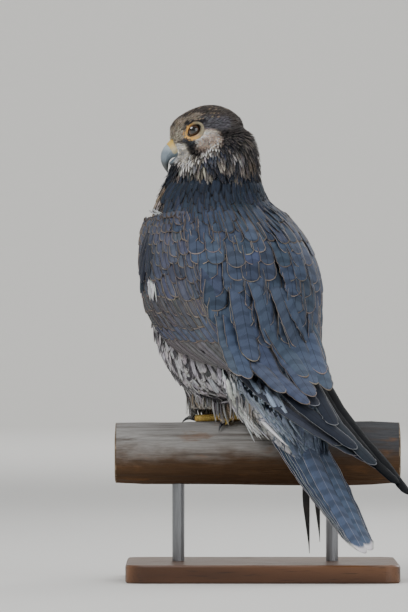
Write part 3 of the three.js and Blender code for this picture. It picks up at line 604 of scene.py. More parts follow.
def feathers(name, track, up, half, ground, fringe, marks, bake, material, slot, rows=5,
             columns=2, profile=vane_profile, point=1.1, arch=0.16, thick=0.12 * mm,
             patch=0.003, lean=None, ruffle=0.04):
    """Joined closed vanes. track and up are (N, K, 3); half is half the width in metres.
    The tip is half an ellipse: point is how much longer than wide it is. arch is how far the
    sides bend down, lean turns a vane about its line, ruffle frays its edges, and patch is
    its size on the bake map."""
    count = len(track)
    length = np.linalg.norm(np.diff(track, axis=1), axis=2).sum(1)
    along = 1 - (1 - np.linspace(0, 1, rows + 1)) ** root_pack
    U, X = np.meshgrid(along, np.linspace(-1, 1, columns + 1), indexing="ij")
    width = np.interp(U, [row[0] for row in profile], [row[1] for row in profile])
    tip_share = point * half.mean() / length.mean()
    along_place = U - tip_round * tip_share * X ** 2 * U ** 3
    if profile is not lance_profile:
        past = np.clip(1 - (1 - U) / tip_share - tip_round, 0, 1)
        width = width * np.sqrt(1 - past ** 2)
    middle = sampled(track, along_place)
    step = 0.02
    ahead = unit(sampled(track, np.minimum(along_place + step, 1))
                 - sampled(track, np.maximum(along_place - step, 0)))
    above = unit(sampled(up, along_place))
    across = unit(np.cross(above, ahead))
    above = unit(np.cross(ahead, across))
    wave = 1 + ruffle * wobble((count, rows + 1, columns + 1))
    reach = half[:, None, None] * width[None] * X[None] * np.where(np.abs(X) > 0.9, wave, 1)
    drop = -arch * half[:, None, None] * X[None] ** 2
    if lean is not None:
        drop = drop + reach * np.tan(lean)[:, None, None]
    body = thick * (1 - X ** 2) * (1 - 0.6 * U)
    centre = middle + across * reach[..., None] + above * drop[..., None]
    upper = centre + above * body[None, ..., None]
    lower = centre - above * body[None, ..., None]
    faces, inner, size = vane_faces(U.shape, count)

    def per_vertex(values):
        """(N, rows, columns, k) values for the upper grid, with the lower ones appended."""
        return np.concatenate([values.reshape(count, U.size, -1), values[:, inner]],
                              1).reshape(count * size, -1)

    vertices = np.concatenate([upper.reshape(count, -1, 3), lower[:, inner]], 1).reshape(-1, 3)
    mesh = squares_mesh(name, vertices, faces)
    full = np.ones((count, rows + 1, columns + 1))
    rim = half[:, None, None] * width * (1 - np.abs(X))
    to_tip = length[:, None, None] * (1 - U) * full
    near = np.stack([np.minimum(rim, to_tip) / mm, to_tip / mm,
                     chance.random((count, 1, 1)) * full], -1)
    store(mesh, "near", per_vertex(near))
    store(mesh, "vane", per_vertex(np.stack(
        [reach / mm, length[:, None, None] * along_place * full / mm, 0 * full], -1)))
    for key, values in (("ground", opaque(ground)), ("fringe", opaque(fringe)), ("marks", marks)):
        store(mesh, key, np.repeat(values, size, 0))
    spread = np.stack([X * patch / 2 + 0 * full, (U - 0.5) * patch + 0 * full], -1)
    corner_uv = per_vertex(spread + bake[:, None, None, :])
    bake_map = mesh.uv_layers.new(name="OFBake")
    bake_map.data.foreach_set("uv", corner_uv[faces.ravel()].astype(np.float32).ravel())
    mesh.materials.append(material)
    thing = plain_object(name, mesh)
    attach(thing, "root")
    triangles = 2 * len(faces)
    coat_total["triangles"] += triangles
    print(name, count, "feathers,", triangles, "triangles")
    return thing


def mixed_rows(share, first, second):
    """A colour for each share from 0 to 1 between two colours."""
    return first * (1 - share[:, None]) + second * share[:, None]


def varied(colour, count, spread=0.12, warm=0.03):
    """A colour for each feather, a little lighter or darker than its neighbours."""
    value = 1 + spread * wobble((count, 1))
    hue = 1 + warm * wobble((count, 3))
    return np.clip(np.broadcast_to(colour, (count, 3)) * value * hue, 0.002, 0.95)


def marked(count, bars, fringe_mm, shaft, tip_mm=0.0):
    """Marks of each feather: share of bars, width of the fringe, shaft streak, pale tip."""
    parts = [np.broadcast_to(np.asarray(part, float), (count,))
             for part in (bars, np.asarray(fringe_mm) / 4, shaft, tip_mm)]
    return np.stack(parts, -1)

# %% [markdown]
# A folded wing is a flat pad along the side of the trunk. The solid wings could carry the
# feathers, but their vanes stand in steps, so a smooth pad is bent over the trunk instead.
# Its places run along it from the shoulder, and across it from its lower edge.

# %% Places on the wings
# height and angle on the trunk, from the shoulder to the wing's end
wing_edges = {
    "low": np.array([[316, 108], [296, 132], [262, 124], [222, 92], [200, 68], [184, 44]], float),
    "high": np.array([[330, 34], [304, 8], [262, 3], [222, 3], [200, 3], [182, 5]], float)}
wing_sides = {"left": 1, "right": -1}
pad_middle, pad_edge = 5.4, 1.8


def wing_spot(along, across):
    """Height and angle on the trunk of a place of the wing."""
    share = np.linspace(0, 1, 6)[:, None]
    low, high = (between_rows(np.hstack([share, wing_edges[edge]]), along)
                 for edge in ("low", "high"))
    spot = low + (high - low) * across[..., None]
    return spot[..., 0], spot[..., 1]


def pad_depth(along, across):
    bulge = np.sin(np.pi * np.clip(across, 0, 1)) ** 0.6
    ends = np.sin(np.pi * (0.12 + 0.8 * np.clip(along, 0, 1))) ** 0.5
    return pad_edge + pad_middle * bulge * ends


def wing_place(side, along, across, lift):
    height, angle = wing_spot(along, across)
    return trunk_place(height, side * angle, lift)


def wing_outward(side, along, across):
    height, angle = wing_spot(along, across)
    return trunk_outward(height, side * angle)


def wing_pad(name, side):
    """The smooth pad that the wing's feathers lie on: a bent grid, thickened inwards."""
    form = bmesh.new()
    bmesh.ops.create_grid(form, x_segments=28, y_segments=24, size=0.5)
    grid = np.array([v.co[:] for v in form.verts]) + 0.5
    grid = grid[:, :2] * [0.86, 0.96] + [0.01, 0.04]
    thin = np.clip((grid[:, 0] - 0.6) / 0.27, 0, 1) + np.clip((0.14 - grid[:, 1]) / 0.1, 0, 1)
    depth = pad_depth(grid[:, 0], grid[:, 1]) - 1.6 - 2.5 * thin
    for corner, place in zip(form.verts, wing_place(side, grid[:, 0], grid[:, 1], depth)):
        corner.co = place
    bmesh.ops.solidify(form, geom=form.faces[:], thickness=4 * mm)
    bmesh.ops.recalc_face_normals(form, faces=form.faces)
    pad = made(form, name)
    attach(pad, "root")
    return pad


pads = {name: wing_pad("wing_pad_" + name, side) for name, side in wing_sides.items()}
print("wing pads:", [len(pad.data.polygons) for pad in pads.values()], "faces")

# %% [markdown]
# The feathers of the back run over both wings and the trunk between them. A boolean join of
# these would leave creases. So the depth of the pads is spread over a map of heights and
# angles and blurred, and the rows of the back look up their lift there.

# %% Lift of the back
map_step = 2.0
lift_heights = np.arange(150, 361, map_step)
lift_angles = np.arange(-150, 151, map_step)
lift_map = np.zeros((len(lift_heights), len(lift_angles)))
fine_along, fine_across = np.meshgrid(np.linspace(0, 1, 320), np.linspace(0, 1, 320))
fine_height, fine_angle = wing_spot(fine_along, fine_across)
fine_depth = pad_depth(fine_along, fine_across)
for side in wing_sides.values():
    row = np.rint((fine_height - lift_heights[0]) / map_step).astype(int)
    column = np.rint((side * fine_angle - lift_angles[0]) / map_step).astype(int)
    np.maximum.at(lift_map, (row, column), fine_depth)
for _ in range(4):
    padded = np.pad(lift_map, 1, mode="edge")
    lift_map = (padded[:-2, 1:-1] + padded[2:, 1:-1] + padded[1:-1, :-2] + padded[1:-1, 2:]
                + 2 * padded[1:-1, 1:-1]) / 6


def back_lift(height, angle):
    """The map's value between its four nearest points."""
    row = np.clip((height - lift_heights[0]) / map_step, 0, len(lift_heights) - 1.001)
    column = np.clip((angle - lift_angles[0]) / map_step, 0, len(lift_angles) - 1.001)
    r, c = row.astype(int), column.astype(int)
    fr, fc = row - r, column - c
    return ((lift_map[r, c] * (1 - fc) + lift_map[r, c + 1] * fc) * (1 - fr)
            + (lift_map[r + 1, c] * (1 - fc) + lift_map[r + 1, c + 1] * fc) * fr)


root_sunk = -1.8
rise_places = np.array([0.0, 0.1, 0.25, 0.45, 0.65, 0.85, 1.0])


def rising(high):
    """Lift of a feather's line from its sunk root to its tip, for many feathers."""
    share = np.interp(rise_places, [0, 0.16, 0.5, 1], [0, 0.7, 0.95, 1])
    return root_sunk + (np.atleast_1d(high)[:, None] - root_sunk) * share[None]


def spots_between(roots, tips):
    share = rise_places[None, :, None]
    spots = roots[:, None] * (1 - share) + tips[:, None] * share
    return spots[..., 0], spots[..., 1]


def wing_lines(side, roots, tips, high):
    """Lines and outward directions of feathers between places of a wing."""
    along, across = spots_between(roots, tips)
    lift = pad_depth(along, across) + rising(high)
    return wing_place(side, along, across, lift), wing_outward(side, along, across)


def back_lines(roots, tips, high):
    """The same between heights and angles of the back."""
    height, angle = spots_between(roots, tips)
    lift = back_lift(height, angle) + rising(high)
    return trunk_place(height, angle, lift), trunk_outward(height, angle)


print("lift of the back: up to", round(lift_map.max(), 1), "mm")

# %% [markdown]
# The wing's own feathers come in rows. From below: the long secondaries, whose edges show
# as parallel lines; the greater and median coverts over their roots; and many small lesser
# coverts up to the shoulder. Scattered feathers would be simpler, but only rows hide the
# roots of the one below. They are slate with dark shafts and a narrow buff fringe.

# %% Rows of the wings
slate = tint(90, 96, 113)
buff_edge = tint(172, 157, 145)
pale_edge = tint(176, 170, 165)
wing_material = plumage("plumage_wing_vane", bar_pitch=11.0, bar_depth=0.3)
flight_material = plumage("plumage_flight_vane", bar_pitch=9.0, bar_depth=0.2, relief=0.3,
                          shine=0.05, sheen=0.0)
wing_long, wing_wide = 145.0, 164.0
bake_corners = {"wing_left": (0.03, 0.03), "wing_right": (0.27, 0.03), "back": (0.51, 0.03),
                "tail": (0.74, 0.03), "body": (0.03, 0.52), "head": (0.52, 0.52)}
bake_size = np.array([0.2, 0.44])
lesser_tips = np.concatenate([np.arange(0.035, 0.42, 0.058), [0.455]])


def baked(name, spread):
    """Where places from 0 to 1 lie on a part of the bake map."""
    return np.array(bake_corners[name]) + np.clip(spread, 0, 1) * bake_size


def covert_row(tip_along, length, pitch, first=0.015, last=0.66, shift=0.0, slide=0.0):
    """Roots and tips of one row across the wing: places along it, and mm for sizes."""
    spots = np.arange(first + shift * pitch / wing_wide, last, pitch / wing_wide)
    count = len(spots)
    jitter = wobble((count, 2)) * [1.1 / wing_long, 0.9 / wing_wide]
    tips = np.stack([tip_along + slide * spots, spots], -1) + jitter
    roots = tips - np.array([length / wing_long, 0.0]) * (1 + 0.07 * wobble((count, 1)))
    roots[:, 1] += 0.02 * (tips[:, 0] - roots[:, 0])
    return roots, tips


def dress_wing(name, side):
    """All rows of one wing. The last piece is that of the secondaries."""
    label = "wing_" + name
    pieces = []

    def add(part, roots, tips, lift, half, ground, fringe, marks, lean,
            material=wing_material, **shape):
        line, up = wing_lines(side, roots, tips, lift)
        pieces.append(feathers(
            label + part, line, up, half, ground, fringe, marks, baked(label, roots), material,
            "plumage_wing", columns=4, lean=np.full(len(roots), -side * math.radians(lean)),
            **shape))

    rows = []
    for number, tip_along in enumerate(lesser_tips):
        grown = number / (len(lesser_tips) - 1)
        roots, tips = covert_row(tip_along, 15 + 5 * grown, 8.2, shift=0.5 * (number % 2),
                                 slide=0.02)
        rows.append((roots, tips, 4.2 - 1.2 * grown, 5.0 + 0.4 * grown))
    roots, tips = (np.concatenate([row[k] for row in rows]) for k in (0, 1))
    high, half = (np.concatenate([np.full(len(row[0]), row[k]) for row in rows]) for k in (2, 3))
    count = len(roots)
    shade = np.interp(tips[:, 1], [0, 0.5], [1.0, 0.85])[:, None]
    edge_share = np.interp(tips[:, 0], [0.05, 0.2], [0.3, 0.85])[:, None]
    add("_lesser", roots, tips, high + 0.3 * wobble(count),
        half * mm * (1 + 0.07 * wobble(count)), varied(slate * shade, count),
        varied(buff_edge * edge_share, count, 0.16),
        marked(count, 0.35, chance.uniform(1.1, 1.7, count), 0.8), 5, rows=5, arch=0.2,
        thick=0.16 * mm)
    for number, (tip_along, length, lift, last) in enumerate(
            [(0.52, 24, 3.0, 0.66), (0.585, 28, 2.6, 0.64)]):
        roots, tips = covert_row(tip_along, length, 8.0, last=last, shift=0.5 * (number % 2),
                                 slide=0.04)
        count = len(roots)
        add(f"_median_{number}", roots, tips, lift + 0.25 * wobble(count),
            np.full(count, 5.0) * mm, varied(tint(92, 93, 100), count, 0.1),
            varied(buff_edge, count, 0.12),
            marked(count, 0.4, chance.uniform(0.8, 1.25, count), 0.8, 1.8), 7, rows=6,
            arch=0.14, thick=0.2 * mm)
    roots, tips = covert_row(0.66, 44, 8.4, last=0.62, slide=0.06)
    count = len(roots)
    add("_greater", roots, tips, 2.0 + 0.08 * np.arange(count), np.full(count, 5.6) * mm,
        varied(slate, count, 0.08), varied(buff_edge, count, 0.1),
        marked(count, 0.5, 0.9, 0.8, 2.2), 8, rows=8, arch=0.1, thick=0.25 * mm)
    across = np.linspace(0.03, 0.72, 13)
    roots = np.stack([0.38 + 0.04 * across, across], -1)
    tips = np.stack([np.interp(across, [0, 0.1, 0.5, 0.72], [0.74, 0.86, 0.985, 1.0]),
                     across * 0.86 + 0.01], -1)
    count = len(roots)
    add("_secondaries", roots, tips, 0.5 + 0.16 * np.arange(count), np.full(count, 7.4) * mm,
        varied(tint(116, 114, 118), count, 0.07), varied(pale_edge, count, 0.08),
        marked(count, 0.5, 0.7, 0.7, 1.0), 7, flight_material, rows=14,
        profile=quill_profile, arch=0.05, thick=0.35 * mm)
    return pieces


wing_pieces = {name: dress_wing(name, side) for name, side in wing_sides.items()}

# %% [markdown]
# The mantle and the scapulars cover the back: small, smooth and almost plain at the top, and
# lower down broad, with a dark shaft, soft bars and a buff fringe. One rule for all would be
# shorter, but the change isn't even, so each row has its line in a table.

# %% Rows of the back
back_material = plumage("plumage_back_vane", bar_pitch=12.0, bar_depth=0.34)
mantle_tint, scapular_tint = tint(44, 52, 66), tint(72, 83, 103)
back_reach, gathered = 62.0, 0.97


def back_row(tip_height, length, pitch, low_angle, high_angle, shift):
    """Roots and tips of a row across the back, in heights and angles."""
    reach = back_reach * math.radians(1)
    spots = np.arange(low_angle + shift * pitch / reach, high_angle, pitch / reach)
    count = len(spots)
    tips = np.stack([tip_height + 0 * spots, spots], -1)
    tips += wobble((count, 2)) * [0.11, 0.09] * pitch
    roots = tips + np.array([length, 0.0]) * (1 + 0.06 * wobble((count, 1)))
    roots[:, 1] *= gathered
    return roots, tips


# tip height, length, pitch, half width, lowest and highest angle, lift, bars, fringe
back_table = [
    (338, 14, 6.8, 4.6, -88, 94, 1.7, 0.1, 0.5), (331, 16, 7.4, 5.0, -86, 90, 2.2, 0.1, 0.6),
    (323, 18, 8.0, 5.4, -82, 85, 2.8, 0.2, 1.0), (314, 20, 8.8, 5.9, -78, 78, 3.4, 0.3, 1.5),
    (305, 22, 9.8, 6.5, -72, 70, 4.0, 0.4, 1.7), (296, 24, 10.6, 7.0, -68, 63, 4.4, 0.55, 1.7),
    (287, 27, 11.6, 7.6, -66, 58, 4.6, 0.7, 1.5), (276, 31, 13.0, 8.6, -62, 55, 4.6, 0.8, 1.3),
    (264, 36, 14.0, 9.4, -60, 52, 4.4, 0.9, 1.2), (251, 39, 14.6, 10.2, -58, 49, 4.0, 0.9, 1.2),
    (237, 41, 15.2, 10.8, -56, 46, 3.6, 0.9, 1.2), (222, 43, 15.6, 11.2, -54, 43, 3.2, 0.9, 1.2),
    (207, 45, 15.6, 11.4, -52, 40, 2.8, 0.9, 1.2)]
for number, (height, length, pitch, half, low, high, lift, bars, fringe) in enumerate(back_table):
    roots, tips = back_row(height, length, pitch, low, high, 0.5 * (number % 2))
    count = len(roots)
    line, up = back_lines(roots, tips, lift + 0.3 * wobble(count))
    grown = min(number / 6, 1)
    broad = half > 7
    spread = np.stack([(roots[:, 1] + 150) / 300, (roots[:, 0] - 150) / 260], -1)
    feathers(f"back_row_{number:02d}", line, up,
             half * mm * (1 + 0.05 * wobble(count)),
             varied(mantle_tint * (1 - grown) + scapular_tint * grown, count, 0.1),
             varied(buff_edge * (0.12 + 0.8 * grown ** 2), count, 0.15),
             marked(count, bars, fringe * chance.uniform(0.8, 1.25, count), 0.4 + 0.5 * grown),
             baked("back", spread), back_material, "plumage_back", rows=9 if broad else 5,
             columns=6 if broad else 4, arch=0.06 if broad else 0.14, thick=0.2 * mm,
             lean=-np.sign(tips[:, 1] + 2) * math.radians(4) + 0 * half)

# %% [markdown]
# The longest feathers of the folded wings leave the trunk and cross over the tail in a flat
# stack that faces up and back. No rule gives their places, so they are read off the
# photograph: a pixel gives two coordinates, and the plane of the stack, or the body where it
# stands nearer, gives the third.

# %% Feathers placed by pixel
stack_normal = unit(bird_array[:3, :3] @ np.array([-0.693, -0.032, 0.72]))
stack_point = out_of(bird_array, np.array([-80, -18, 171]) * mm)
body_trees = [skin_tree] + [tree_of(pad) for pad in pads.values()]


def nearest_seen(x, z):
    """How near the body comes to the viewer at a place of the picture, or None."""
    found = [tree.ray_cast(Vector((x, -1, z)), Vector((0, 1, 0)))[0] for tree in body_trees]
    found = [hit.y for hit in found if hit is not None]
    return min(found) if found else None


def pixel_line(pixels, steps=13):
    """Even shares of a line through pixels, and their places x and z."""
    pixels = np.array(pixels, float)
    share = np.linspace(0, 1, steps)
    px, py = (np.interp(share, np.linspace(0, 1, len(pixels)), pixels[:, axis])
              for axis in (0, 1))
    return share, *pixel_place(px, py)


def evened(values):
    """Values along a line with their steps smoothed out, in place."""
    for _ in range(4):
        values[1:-1] = (values[:-2] + 2 * values[1:-1] + values[2:]) / 4
    return values


def seen_line(pixels, lift):
    """A feather's line under given pixels, lift mm off the plane of the stack or the body."""
    share, x, z = pixel_line(pixels)
    rise = np.interp(share, [0, 0.2, 1], [min(-0.4 * lift, lift - 4), lift - 0.3, lift]) * mm
    near = stack_point[1] + (rise - stack_normal[0] * (x - stack_point[0])
                             - stack_normal[2] * (z - stack_point[2])) / stack_normal[1]
    over = np.where(share < 0.15, rise, np.maximum(rise, 0.6 * mm)) / stack_normal[1]
    for number, (place_x, place_z) in enumerate(zip(x, z)):
        body_y = nearest_seen(place_x, place_z)
        if body_y is not None:
            near[number] = min(near[number], body_y + over[number])
    return np.stack([x, evened(near), z], -1)


def stacked(name, rows, ground, edge, bars, fringe, material, point, tip=0.0):
    """Feathers from rows of pixels from root to tip, half width in mm and lift in mm."""
    count = len(rows)
    corner = np.array([[0.4 + 0.2 * chance.random(), 0.1]])
    return feathers(
        name, np.stack([seen_line(pixels, lift) for pixels, _, lift in rows]),
        np.broadcast_to(stack_normal, (count, 2, 3)),
        np.array([half for _, half, _ in rows]) * mm, varied(ground, count, 0.05),
        varied(edge, count, 0.08), marked(count, bars, fringe, 0.8, tip),
        corner + np.linspace(0, 0.3, count)[:, None] * [[0.1, 1]], material,
        "plumage_wing", rows=18, columns=6, profile=quill_profile, point=point,
        arch=0.06, thick=0.4 * mm, patch=0.02)


tertials = [
    ([(250, 322), (272, 372), (308, 403)], 10.3, 3.0),
    ([(238, 318), (252, 360), (284, 392)], 10.6, 3.2),
    ([(264, 305), (286, 356), (312, 396)], 12.1, 3.7),
    ([(298, 290), (312, 340), (327, 390)], 10.6, 3.7),
    ([(280, 300), (296, 340), (314, 384)], 11.0, 3.6),
    ([(222, 306), (228, 342), (238, 375)], 9.9, 3.5),
    ([(230, 306), (236, 345), (247, 378)], 10.1, 4.0),
    ([(258, 300), (279, 340), (305, 377)], 12.1, 4.2),
    ([(292, 286), (305, 330), (321, 374)], 11.7, 4.1),
    ([(284, 274), (296, 310), (311, 342)], 12.1, 4.7),
    ([(236, 274), (244, 320), (252, 361)], 12.1, 4.7),
    ([(272, 268), (286, 308), (299, 347)], 12.5, 5.0),
    ([(254, 266), (265, 306), (274, 346)], 12.8, 5.0)]
stacked("tertials", tertials, scapular_tint * 1.12, buff_edge * 0.9, 0.7, 1.4, back_material, 1.2,
        1.0)

# %% [markdown]
# The primaries are the outer flight feathers. The wings cross over the tail, and the right
# one lies on top: its longest feathers are nearly black, and the others end in steps on
# them. Mirroring one wing would be quick, but of the left one only a few edges show below.

# %% Primaries
right_longest = [
    ([(308, 350), (336, 404), (361, 437), (383, 462), (397, 480), (404.5, 491.5)], 6.8, -5.2),
    ([(303, 350), (329, 406), (354, 438), (375, 462), (388, 474), (395, 481)], 7.2, -4.4)]
right_shorter = [
    ([(306, 372), (333, 420), (354, 444), (373, 462.5)], 8.6, -3.4),
    ([(262, 366), (301, 406), (328, 426), (355, 447)], 9.2, -2.2),
    ([(296, 352), (317, 396), (333, 424)], 9.8, -1.0),
    ([(284, 352), (300, 384), (315, 405)], 9.4, -0.2)]
left_edges = [
    ([(222, 350), (262, 390), (300, 415), (345, 442), (382, 469)], 7.6, -9.4),
    ([(224, 352), (263, 391), (300, 416.5), (338, 440), (370, 461)], 8.0, -8.8),
    ([(226, 354), (263, 392), (296, 415.5), (328, 436), (356, 453)], 8.4, -8.2),
    ([(226, 355), (258, 389), (286, 410), (314, 428), (340, 443)], 8.6, -7.6)]
stacked("wing_right_longest", right_longest, tint(10, 13, 18), tint(52, 60, 72), 0.1, 0.8,
        flight_material, 4.0)
stacked("wing_right_shorter", right_shorter, tint(42, 47, 58), tint(140, 144, 150), 0.2, 1.7,
        flight_material, 1.4)
stacked("wing_left_edges", left_edges, tint(70, 76, 87), tint(150, 150, 152), 0.2, 1.2,
        flight_material, 2.5)

# %% [markdown]
# Twelve tail feathers are stacked like a fan that is nearly shut, the middle pair on top.
# Copies of one, turned about the root, would be too even, so a table says how far aside
# each lies. They are blue grey with soft dark bars and white tips.

# %% Tail feathers
tail_material = plumage("plumage_tail_vane", bar_pitch=13.0, bar_depth=0.3, relief=0.3)
tail_root, tail_length, tail_shorter, tail_step = 24, 190.0, 12, 3.0
tail_top, tail_level, tail_droop, tail_wide = 5.2, 0.45, 4.0, 30
# how far aside each feather lies at its root, middle and tip, from the top down
tail_asides = [(8, -7, -7), (17, 12, 1), (-10, -13, -5), (20, 17, 4), (-14, -15, -5),
               (21, 18, 4), (-17, -16.5, -5), (22, 18.5, 4), (-20, -18, -5), (23, 19, 4),
               (-22, -19, -5), (24, 19.5, 4)]
tail_share = np.linspace(0, 1, 13)
tail_lines = []
for number, asides in enumerate(tail_asides):
    aside = np.interp(tail_share, [0, 0.5, 1], asides)
    aside = np.convolve(np.pad(aside, 2, mode="edge"), np.ones(5) / 5, mode="valid")
    end = tail_length - tail_shorter * (number / 11) ** 1.6 - (tail_step if number % 2 else 0)
    place = np.stack([tail_root + (end - tail_root) * tail_share, aside,
                      tail_top - tail_level * number - tail_droop * (aside / tail_wide) ** 2],
                     -1)
    tail_lines.append(out_of(tail_array, place * mm))
tail_count = len(tail_lines)
tail_up = np.broadcast_to(tail_array[:3, 2], (tail_count, 2, 3))
tail_corner = np.array(bake_corners["tail"])
tail_tint = mixed_rows(np.arange(tail_count) / 11, tint(86, 100, 124), tint(38, 48, 66))
feathers("tail_feathers", np.stack(tail_lines), tail_up, np.full(tail_count, 11.2) * mm,
         varied(tail_tint, tail_count, 0.05), varied(tint(228, 228, 226), tail_count, 0.03),
         marked(tail_count, 1.0, 0.9, -0.25, 7.5),
         tail_corner + np.linspace(0, 0.4, tail_count)[:, None] * [[0.1, 1]],
         tail_material, "plumage_tail", rows=26, columns=6, profile=quill_profile, point=1.6,
         arch=0.1, thick=0.4 * mm, patch=0.03)

# %% [markdown]
# Softer coverts hide the roots of the tail feathers. They sit on a core that runs out of the
# trunk. It starts as a cylinder, which is drawn to flattened sections from a table, because
# a plain cone would be too round for the root of a tail.

# %% Tail coverts
# mm along the tail, half width, half height, height of the middle
rump_rows = np.array([[-34, 24, 15, 8], [0, 38, 19, 10], [22, 37, 18, 8], [46, 33, 13, 4],
                      [66, 27, 6, 1], [84, 18, 1.6, -1], [92, 12, 1, -1]], float)
core_stations = np.linspace(-20, 78, 22)
core_sunk = np.array(-1.5)


def rump_place(along, angle, lift):
    """A place on the tail's root: mm along the tail, degrees from its left, mm of lift."""
    wide, high, middle = np.moveaxis(between_rows(rump_rows, along), -1, 0)
    turn = np.radians(angle)
    local = np.stack([along + 0 * turn, (wide + lift) * np.cos(turn),
                      middle + (high + lift) * np.sin(turn)], -1)
    return out_of(tail_array, local * mm)


def rump_core():
    """A cylinder cut into rings, each of which is drawn to its section, with closed ends."""
    form = bmesh.new()
    bmesh.ops.create_cone(form, cap_ends=True, segments=24, radius1=1, radius2=1, depth=1)
    bmesh.ops.delete(form, geom=[f for f in form.faces if len(f.verts) > 4],
                     context="FACES_ONLY")
    bmesh.ops.subdivide_edges(form, edges=[e for e in form.edges if abs(
        e.verts[0].co.z - e.verts[1].co.z) > 0.5], cuts=len(core_stations) - 2)
    bmesh.ops.holes_fill(form, edges=form.edges)
    for corner in form.verts:
        along = core_stations[int(round((corner.co.z + 0.5) * (len(core_stations) - 1)))]
        angle = math.degrees(math.atan2(corner.co.y, corner.co.x))
        corner.co = rump_place(np.array(along), np.array(angle), core_sunk)
    bmesh.ops.recalc_face_normals(form, faces=form.faces)
    core = made(form, "rump_core")
    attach(core, "root")
    return core


rump = rump_core()
rump_tracks, rump_ups, rump_spots = [], [], []
rump_around, rump_length = 29, 110
covert_shares = np.array([0, 0.3, 0.65, 1.0])
covert_lifts = np.array([-2.0, 0.5, 1.4, 2.0])
for station in np.arange(-6, 72, 5.0):
    offset = chance.random()
    for number in range(rump_around):
        angle = 360 * (number + offset) / rump_around + chance.normal(0, 3)
        length = 22 + 10 * max(station, 0) / rump_length
        root_spot = station - 8 + chance.normal(0, 1.5)
        rump_tracks.append(rump_place(root_spot + length * covert_shares, np.full(4, angle),
                                      covert_lifts))
        inner = rump_place(np.array(root_spot), np.array(angle), np.array(0.0))
        outer = rump_place(np.array(root_spot), np.array(angle), np.array(1.0))
        rump_ups.append(unit(outer - inner))
        rump_spots.append((station / rump_length * 0.4, (angle % 360) / 360))
rump_count = len(rump_tracks)
rump_spots = np.array(rump_spots)
above_tail = np.sin(2 * np.pi * rump_spots[:, 1])[:, None]
rump_tint = np.where(above_tail > 0.1, tint(124, 138, 160), tint(186, 186, 186))
feathers("tail_coverts", np.stack(rump_tracks), np.repeat(np.stack(rump_ups)[:, None], 2, 1),
         chance.uniform(4.0, 5.2, rump_count) * mm, varied(rump_tint, rump_count, 0.1),
         varied(tint(134, 146, 166), rump_count, 0.08),
         marked(rump_count, 0.4, chance.uniform(0.4, 1.1, rump_count), 0.3),
         tail_corner + [0.12, 0] + rump_spots * [0.2, 0.4], back_material,
         "plumage_tail", rows=5, columns=4, arch=0.2, thick=0.2 * mm)
for name in wing_sides:
    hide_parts("wing_" + name)
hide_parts("tail")

# %% [markdown]
# The head, neck, breast, flanks and legs carry small soft feathers in no clear rows. Painting
# their colours would tie them to one shape. So they follow the place: its height and angle
# on the trunk, its place on the head, and its pixel for the marks of the face.

# %% Places of the body
def ramp(value, low, high):
    """A smooth step from 0 at low to 1 at high."""
    t = np.clip((value - low) / (high - low), 0, 1)
    return t * t * (3 - 2 * t)


def in_bird(points):
    return into(bird_array, points) / mm


def in_head(points):
    return into(head_array, points) / mm


def trunk_spot(points):
    """Height and angle round the trunk of places anywhere near it."""
    local = in_bird(points)
    forward, left = np.moveaxis(between_rows(trunk_rows[:, :3], local[:, 2]), -1, 0)
    return local[:, 2], np.degrees(np.arctan2(local[:, 1] - left, forward - local[:, 0]))


def head_share(points):
    """1 on the head and 0 on the neck and below."""
    away = np.linalg.norm(in_head(points) * [0.9, 1.0, 1.0], axis=1)
    return 1 - ramp(away, 27, 38)


def seen_place(px, py):
    """The place on the body's near side under a pixel of the photograph."""
    x, z = pixel_place(px, py)
    hit = skin_tree.ray_cast(Vector((x, -1, z)), Vector((0, 1, 0)))[0]
    if hit is None:
        hit = skin_tree.find_nearest(Vector((x, 0, z)))[0]
    return np.array(hit)


def near_place(points, centre, size):
    """How near places are to a spot of a size in mm, with a soft edge."""
    return 1 - ramp(np.linalg.norm(points - centre, axis=1) / mm, 0.55 * size, 1.25 * size)


def mirrored_pixels(points):
    """Pixels of the head's near side. The far side is read through the head's own mirror."""
    local = in_head(points)
    local[:, 1] = np.abs(local[:, 1])
    world = out_of(head_array, local * mm)
    return np.stack([mark_px + world[:, 0] / pixel,
                     mark_py - (world[:, 2] - mark_height) / pixel], -1)


def near_line(flat, start, end, size):
    """How near pixels are to a line between two of them, with a soft edge."""
    start, end = np.array(start, float), np.array(end, float)
    way = end - start
    share = np.clip((flat - start) @ way / max(way @ way, 1e-9), 0, 1)
    away = np.linalg.norm(flat - start - share[:, None] * way, axis=1)
    return 1 - ramp(away, 0.55 * size, 1.2 * size)


# %% [markdown]
# A falcon's face is dark brown with a pale cheek behind a black streak, and its neck is
# spotted with cream. A mask image could hold these marks, but short tables of lines and
# spots, each with a soft edge, can be read and moved.

# %% Colours of the body
head_dark, nape_dark = tint(82, 75, 71), tint(60, 60, 64)
cream_rgb = (214, 204, 188)
cream = tint(*cream_rgb)
breast_tint, flank_tint = tint(184, 166, 150), tint(186, 183, 188)
spot_tint, vent_tint = tint(78, 76, 80), tint(190, 188, 192)
